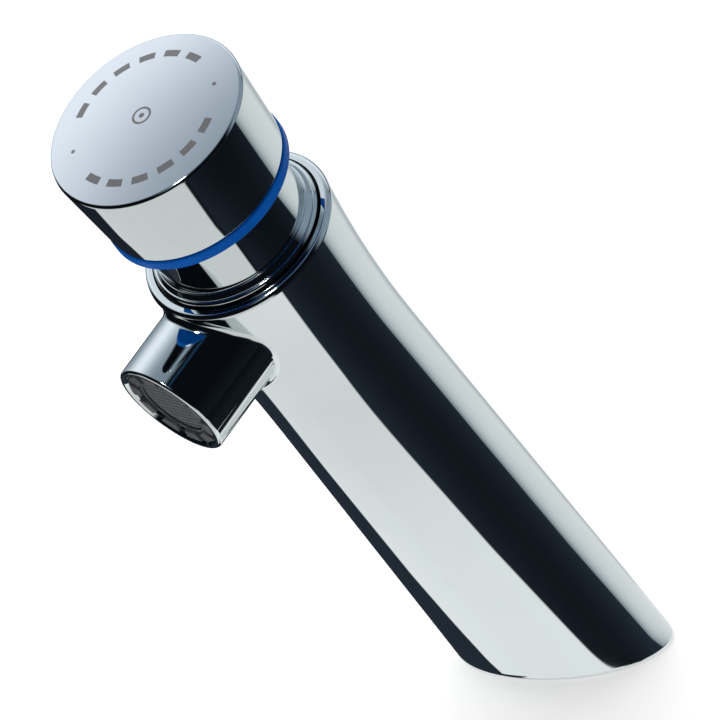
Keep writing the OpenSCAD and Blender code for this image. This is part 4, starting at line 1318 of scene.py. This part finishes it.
def bell(value, middle, wide):
    """Soft hump round a middle."""
    return np.exp(-((value - middle) / wide) ** 2)


def tap_way(out, across, up):
    """Vector along the tap's own directions."""
    return out * OUT + across * ACROSS + up * UP


# Tent: its size in metres, the angle of its seam in degrees from the spout, and its rows
TENT_R, TENT_LOW, TENT_HIGH = 0.15, -0.24, 0.10
TENT_BACK, TENT_ROWS = -112.0, 171
# Edges of its dark cloths: stations along the tap's axis in metres, and angles in degrees from the spout
CLOTH_LEFT = [
    (-0.22, -40.0), (-0.17, -10.0), (-0.122, 0.0), (-0.112, -16.0), (-0.101, -28.0), (-0.086, -35.0),
    (-0.065, -42.0), (-0.02, -46.5), (0.028, -47.0), (0.055, -49.5), (0.0625, -52.0), (0.067, -54.0),
    (0.08, -50.0)]
CLOTH_FRONT = [
    (-0.15, 98.0), (-0.135, 106.0), (-0.1265, 109.5), (-0.1215, 109.5), (-0.1195, 104.0), (-0.117, 96.5),
    (-0.1145, 91.0), (-0.112, 87.5), (-0.1085, 84.7), (-0.104, 82.6), (-0.097, 80.5), (-0.055, 70.0),
    (-0.012, 63.0), (0.05, 54.5), (0.08, 60.5)]
CLOTH_BACK = [
    (-0.16, 182.0), (-0.15, 176.0), (-0.14, 168.0), (-0.1345, 161.5), (-0.129, 157.0), (-0.082, 150.0),
    (-0.03, 147.0), (0.06, 144.5)]
# Half widths of the soft edges, and how far past the back edge the columns stay fine, in degrees
CLOTH_SOFT, BACK_SOFT, BACK_FINE = 1.2, 0.8, 18.0
# White paper in front: its tone, and how much it falls over a span of stations
PAPER_TONE, PAPER_FALL, PAPER_SPAN = 1.03, 0.24, (-0.09, 0.075)
# Grey behind: a step at the cloth's edge, a rise with the angle past it, and a dip further round
BACK_STEP, BACK_RISE, BACK_RUN = 0.2, 0.65, 8.0
BACK_DIP, DIP_AT, DIP_WIDE = 0.33, 70.0, 11.0
BACK_TINT = np.array([1.12, 1.0, 0.96])
# Dark cloths: darkest at an angle on the right, lighter away from it and on the left, darker up the tap
CLOTH_MIDDLE, CLOTH_SPREAD, CLOTH_RIGHT = 105.0, 38.0, 60.0
CLOTH_GAIN, CLOTH_MOST = 1.4, 2.4
CLOTH_FALL, CLOTH_SPAN = 0.5, (0.01, 0.10)

# Room: a ball in metres, painted in steps of degrees
SHELL_R, SHELL_STATION, SHELL_STEP = 0.45, 0.17, 2.0
# Softbox and the faint light round it, which end to the right of the top, towards the front and far below
LEFT_END, LEFT_FRONT, LEFT_UNDER = (5.0, 15.0), (0.05, 0.3), (-165.0, -150.0)
SOFTBOX_TONE, SOFTBOX_AT, SOFTBOX_WIDE = 0.86, -62.0, 26.0
FAINT_TONE = 0.38
# White paper far below, with a dark gap between two angles
BELOW_TONE, BELOW_SPAN, BELOW_GAP = 0.95, (0.55, 0.75), ((112.0, 118.0), (125.0, 131.0))
# White paper in front, under the level of the room's middle
FRONT_TONE, FRONT_SPAN, FRONT_TOP = 0.78, (0.2, 0.35), (-0.12, 0.02)
FRONT_SIDES = ((-50.0, -40.0), (54.0, 60.0))
# Grey wall behind on the right
REAR_TONE, REAR_SPAN, REAR_FOOT = 0.42, (0.42, 0.70), (-0.55, -0.35)
# Round glow above, and a thin blue streak
HALO_AIM, HALO_TONE, HALO_SPREAD = (0.346, 0.290, 0.892), 0.75, 0.008
STREAK_TONE, STREAK_AT, STREAK_WIDE, STREAK_TINT = 0.16, 19.0, 1.3, np.array([0.1, 0.45, 1.0])
# The dark rest: the least share of the cloth's colour, and the angles over which it becomes whole
DARK_LEAST, DARK_SPAN = 0.4, (70.0, 125.0)

# Small oval lamp that rounded edges catch: rings with their share of its size and their tone
SPARK_AIM, SPARK_INSIDE, SPARK_SIDES = (0.154, 0.135, 0.977), 0.02, 25
SPARK_LONG, SPARK_WIDE, SPARK_TURN = 0.042, 0.080, math.radians(62.0)
SPARK_RINGS = [(0.0, 1.0), (0.45, 0.8), (0.7, 0.03), (1.0, 0.0)]
# Narrow flag beside the spout, by half its sides
FLAG_PLACE, FLAG_AIM = (0.0472, -0.0333, 0.1397), (0.46, -0.60, -0.65)
FLAG_LONG, FLAG_WIDE, FLAG_TONE = 0.009, 0.003, 0.05

# Floor, soft lamp and camera, in metres
FLOOR_HALF, FLOOR_DROP, FLOOR_LIFT = 8.0, 0.0003, 0.42
LAMP_PLACE, LAMP_AIM, LAMP_SIZE = (-0.7, -0.9, 1.7), (0.0, -0.06, 0.08), 1.2
SENSOR_MM, CLIP_NEAR, CLIP_FAR = 36.0, 0.05, 60.0
WHITE = (1.0, 1.0, 1.0, 1.0)
CARD_CORNERS = ((-1, -1), (1, -1), (1, 1), (-1, 1))


def cloth_edges(station):
    """Angles of the three cloth edges at stations."""
    return [np.interp(station, *zip(*edge)) for edge in (CLOTH_LEFT, CLOTH_FRONT, CLOTH_BACK)]


def tent_columns(stations):
    """Angles of the tent's points, a row for each station, with columns that run along the cloth edges."""
    left, front, back = cloth_edges(stations)
    ends = np.full_like(left, TENT_BACK)
    # angles that the columns run to, and their number on the way there
    stops = [(ends, 0), (left - CLOTH_SOFT, 8), (left + CLOTH_SOFT, 5), (front - CLOTH_SOFT, 16),
             (front + CLOTH_SOFT, 5), (back - BACK_SOFT, 20), (back + BACK_SOFT, 4), (back + BACK_FINE, 12),
             (ends + 360.0, 36)]
    runs = [ends[None]]
    for (a, _), (b, count) in zip(stops, stops[1:]):
        runs.append(np.linspace(a, b, count + 1, axis=0)[1:])
    return np.concatenate(runs).T


def tent_tones(angle, station, flag):
    """Light of the tent round the body: white paper in front, dark cloth to both sides, grey behind."""
    left, front, back = cloth_edges(station)
    paper = PAPER_TONE - PAPER_FALL * ease(station, *PAPER_SPAN)
    paper = paper * ease(angle, left - CLOTH_SOFT, left + CLOTH_SOFT)
    paper = paper * (1 - ease(angle, front - CLOTH_SOFT, front + CLOTH_SOFT))
    behind = BACK_STEP * ease(angle, back - BACK_SOFT, back + BACK_SOFT)
    behind = behind + BACK_RISE * (1 - np.exp(-np.clip(angle - back, 0, None) / BACK_RUN))
    behind = np.clip(behind - BACK_DIP * bell(angle - back, DIP_AT, DIP_WIDE), 0, None)
    deep = 1.0 + ((angle - CLOTH_MIDDLE) / CLOTH_SPREAD) ** 2 * (angle > CLOTH_RIGHT)
    deep = np.clip(deep + CLOTH_GAIN * (angle < 0.0), 1.0, CLOTH_MOST)
    deep = deep * (1.0 - CLOTH_FALL * ease(station, *CLOTH_SPAN))
    return paper[:, None] * np.ones(3) + behind[:, None] ** BACK_TINT + deep[:, None] * flag


def shell_tones(out, across, up, flag, softbox, room):
    """Light of the room: soft light to the left, paper below and in front, grey behind, the rest dark."""
    beta = np.degrees(np.arctan2(across, up))
    psi = np.degrees(np.arctan2(across, out))
    seen = (1 - ease(beta, *LEFT_END)) * (1 - ease(out, *LEFT_FRONT)) * ease(beta, *LEFT_UNDER)
    lobe = SOFTBOX_TONE * bell(beta, SOFTBOX_AT, SOFTBOX_WIDE) * seen
    below = BELOW_TONE * ease(-up, *BELOW_SPAN) * (1 - band(psi, *BELOW_GAP))
    front = FRONT_TONE * ease(out, *FRONT_SPAN) * (1 - ease(up, *FRONT_TOP)) * band(psi, *FRONT_SIDES)
    rear = REAR_TONE * ease(-out, *REAR_SPAN) * ease(beta, *LEFT_END) * ease(up, *REAR_FOOT)
    plain = np.maximum(below, front)
    towards = out * HALO_AIM[0] + across * HALO_AIM[1] + up * HALO_AIM[2]
    halo = HALO_TONE * np.exp((towards - 1.0) / HALO_SPREAD)
    streak = STREAK_TONE * bell(beta, STREAK_AT, STREAK_WIDE) * (out < 0.0)
    deep = DARK_LEAST + (1 - DARK_LEAST) * ease(beta, *DARK_SPAN)
    return (lobe[:, None] * softbox + (FAINT_TONE * seen + rear + halo)[:, None] * room
            + streak[:, None] * STREAK_TINT + plain[:, None] * np.ones(3) + deep[:, None] * flag)


def seen_white(tree):
    """One for rays from the camera, from bright surfaces and through clear ones, and nought for the rest."""
    path = tree.nodes.new("ShaderNodeLightPath").outputs
    either = math_node(tree, "MAXIMUM", path["Is Camera Ray"], path["Is Glossy Ray"])
    return math_node(tree, "MAXIMUM", either, path["Is Transmission Ray"])


class TAP_OT_stage(bpy.types.Operator):
    """Set up the floor, the light and the camera."""

    bl_idname = "tap.stage"
    bl_label = "Studio"

    def execute(self, context):
        scene, z = context.scene, context.scene.tap_stage
        scene.view_settings.view_transform = "Standard"
        self.world(scene, z)
        self.floor(scene, z)
        self.cards(z)
        self.lamps(scene, z)
        self.camera(scene, z)
        return {"FINISHED"}

    def world(self, scene, z):
        """White to the camera and in reflections, an even light on matt surfaces."""
        scene.world = bpy.data.worlds.new("studio")
        scene.world.use_nodes = True
        tree = scene.world.node_tree
        tree.nodes.clear()
        strength = ramp(tree, seen_white(tree), 0.0, 1.0, z.ambient, 1.0, smooth=False)
        light = add(tree, "ShaderNodeBackground", None, Color=WHITE, Strength=strength)
        show(tree, light, "ShaderNodeOutputWorld")

    def floor(self, scene, z):
        """Pale floor that takes the tap's shadow."""
        mesh = bpy.data.meshes.new("floor")
        corners = [(x * FLOOR_HALF, y * FLOOR_HALF, -FLOOR_DROP) for x, y in CARD_CORNERS]
        mesh.from_pydata(corners, [], [(0, 1, 2, 3)])
        material, tree = bare_material("floor_white")
        matt = made(tree, "ShaderNodeBsdfDiffuse", Color=(*colour(z.floor), 1.0))
        lift = made(tree, "ShaderNodeEmission", Color=WHITE,
                    Strength=math_node(tree, "MULTIPLY", seen_white(tree), FLOOR_LIFT))
        show(tree, add(tree, "ShaderNodeAddShader", None, i0=matt, i1=lift))
        material.cycles.emission_sampling = "NONE"
        mesh.materials.append(material)
        obj = bpy.data.objects.new("floor", mesh)
        scene.collection.objects.link(obj)
        obj.visible_glossy = False

    def cards(self, z):
        """What the plate reflects: the tent, the room, a small lamp and a flag."""
        flag, softbox, room = (np.array(colour(c)) for c in (z.flag, z.softbox, z.room))
        cloth = glow("studio_cloth")
        # tent: a sleeve round the tap's axis
        stations = np.linspace(TENT_LOW, TENT_HIGH, TENT_ROWS)
        angles = tent_columns(stations)
        station = np.repeat(stations, angles.shape[1])
        angle = angles.ravel()
        turn = np.radians(angle)[:, None]
        points = TENT_R * (np.cos(turn) * OUT + np.sin(turn) * ACROSS) + station[:, None] * UP
        card("tent", points, sheet_faces(*angles.shape), tent_tones(angle, station, flag), cloth)
        # room: a ball round the top of the tap, with its poles along the spout
        turns, sides = (np.radians(np.arange(-end, end + 0.1, SHELL_STEP)) for end in (180.0, 90.0))
        turn, side = (v.ravel() for v in np.meshgrid(turns, sides))
        out, up, across = np.sin(side), np.cos(side) * np.cos(turn), np.cos(side) * np.sin(turn)
        way = out[:, None] * OUT + up[:, None] * UP + across[:, None] * ACROSS
        card("room", SHELL_STATION * UP + SHELL_R * way, sheet_faces(len(sides), len(turns)),
             shell_tones(out, across, up, flag, softbox, room), cloth)
        # small lamp that rounded edges catch
        aim = unit(tap_way(*SPARK_AIM))
        along = unit(np.cross(aim, math.cos(SPARK_TURN) * OUT + math.sin(SPARK_TURN) * ACROSS))
        over = np.cross(aim, along)
        turn = np.linspace(0, 2 * math.pi, SPARK_SIDES)[:, None]
        oval = SPARK_LONG * np.cos(turn) * along + SPARK_WIDE * np.sin(turn) * over
        place = SHELL_STATION * UP + (SHELL_R - SPARK_INSIDE) * aim
        points = np.concatenate([place + share * oval for share, _ in SPARK_RINGS])
        tones = np.repeat([tone for _, tone in SPARK_RINGS], SPARK_SIDES)[:, None] * np.ones(3)
        lamp = glow("spark_lamp", z.spark, sampled=True)
        card("spark", points, sheet_faces(len(SPARK_RINGS), SPARK_SIDES), tones, lamp)
        # narrow flag beside the spout, which keeps the white paper off the neck's left
        aim = unit(tap_way(*FLAG_AIM))
        along = unit(np.cross(aim, UP))
        over = np.cross(along, aim)
        points = [tap_way(*FLAG_PLACE) + FLAG_LONG * a * along + FLAG_WIDE * b * over
                  for a, b in CARD_CORNERS]
        card("flag", points, [(0, 1, 2, 3)], np.tile(FLAG_TONE * room, (4, 1)), cloth)

    def lamps(self, scene, z):
        """One large soft lamp from the left, above and in front."""
        lamp = bpy.data.lights.new("key", "AREA")
        lamp.shape, lamp.size, lamp.energy = "DISK", LAMP_SIZE, z.key_power
        obj = bpy.data.objects.new("key", lamp)
        scene.collection.objects.link(obj)
        obj.visible_glossy = False
        obj.location = LAMP_PLACE
        obj.rotation_euler = (Vector(LAMP_PLACE) - Vector(LAMP_AIM)).to_track_quat("Z", "Y").to_euler()

    def camera(self, scene, z):
        """Camera at the photograph's viewing angle."""
        a, e, r = z.azimuth, z.elevation, z.roll
        back = Vector((math.sin(a) * math.cos(e), -math.cos(a) * math.cos(e), math.sin(e)))
        level = Vector((math.cos(a), math.sin(a), 0.0))
        upright = back.cross(level)
        right = math.cos(r) * level + math.sin(r) * upright
        above = math.cos(r) * upright - math.sin(r) * level
        middle = Vector(UP) * z.aim_station
        place = middle + back * z.distance
        sight = (place - (middle + right * z.aim_right + above * z.aim_up)).normalized()
        right = (right - sight * right.dot(sight)).normalized()
        above = sight.cross(right)
        data = bpy.data.cameras.new("camera")
        data.sensor_width, data.lens = SENSOR_MM, z.lens
        data.clip_start, data.clip_end = CLIP_NEAR, CLIP_FAR
        obj = bpy.data.objects.new("camera", data)
        scene.collection.objects.link(obj)
        obj.matrix_world = Matrix.Translation(place) @ Matrix((right, above, sight)).transposed().to_4x4()
        scene.camera = obj


class TAP_PT_panel(bpy.types.Panel):
    """Lists the pieces that can be built and their sizes."""

    bl_idname = "TAP_PT_panel"
    bl_label = "Push tap"
    bl_space_type = "VIEW_3D"
    bl_region_type = "UI"
    bl_category = "Tap"

    def draw(self, context):
        for operator in OPERATORS:
            self.layout.operator(operator.bl_idname)
        for name in GROUPS:
            group = getattr(context.scene, name)
            box = self.layout.box()
            for prop in group.bl_rna.properties:
                if prop.identifier not in ("name", "rna_type"):
                    box.prop(group, prop.identifier)


GROUPS = {"tap_body": TapBodySizes, "tap_top": TapTopSizes, "tap_outlet": TapOutletSizes,
          "tap_finishes": TapFinishes, "tap_stage": TapStage}
OPERATORS = [TAP_OT_body, TAP_OT_neck, TAP_OT_button, TAP_OT_colour_ring, TAP_OT_outlet, TAP_OT_spring,
             TAP_OT_inner, TAP_OT_stage]


def register():
    """Add the classes and their places on the scene to Blender."""
    for cls in [*GROUPS.values(), *OPERATORS, TAP_PT_panel]:
        bpy.utils.register_class(cls)
    for name, cls in GROUPS.items():
        setattr(bpy.types.Scene, name, PointerProperty(type=cls))


def unregister():
    """Take them away again."""
    for name in GROUPS:
        delattr(bpy.types.Scene, name)
    for cls in reversed([*GROUPS.values(), *OPERATORS, TAP_PT_panel]):
        bpy.utils.unregister_class(cls)


def main():
    """Build every piece and the studio."""
    register()
    bpy.ops.tap.body()
    bpy.ops.tap.neck()
    bpy.ops.tap.button()
    bpy.ops.tap.colour_ring()
    bpy.ops.tap.outlet()
    bpy.ops.tap.spring()
    bpy.ops.tap.inner()
    bpy.ops.tap.stage()


if __name__ == "__main__":
    main()
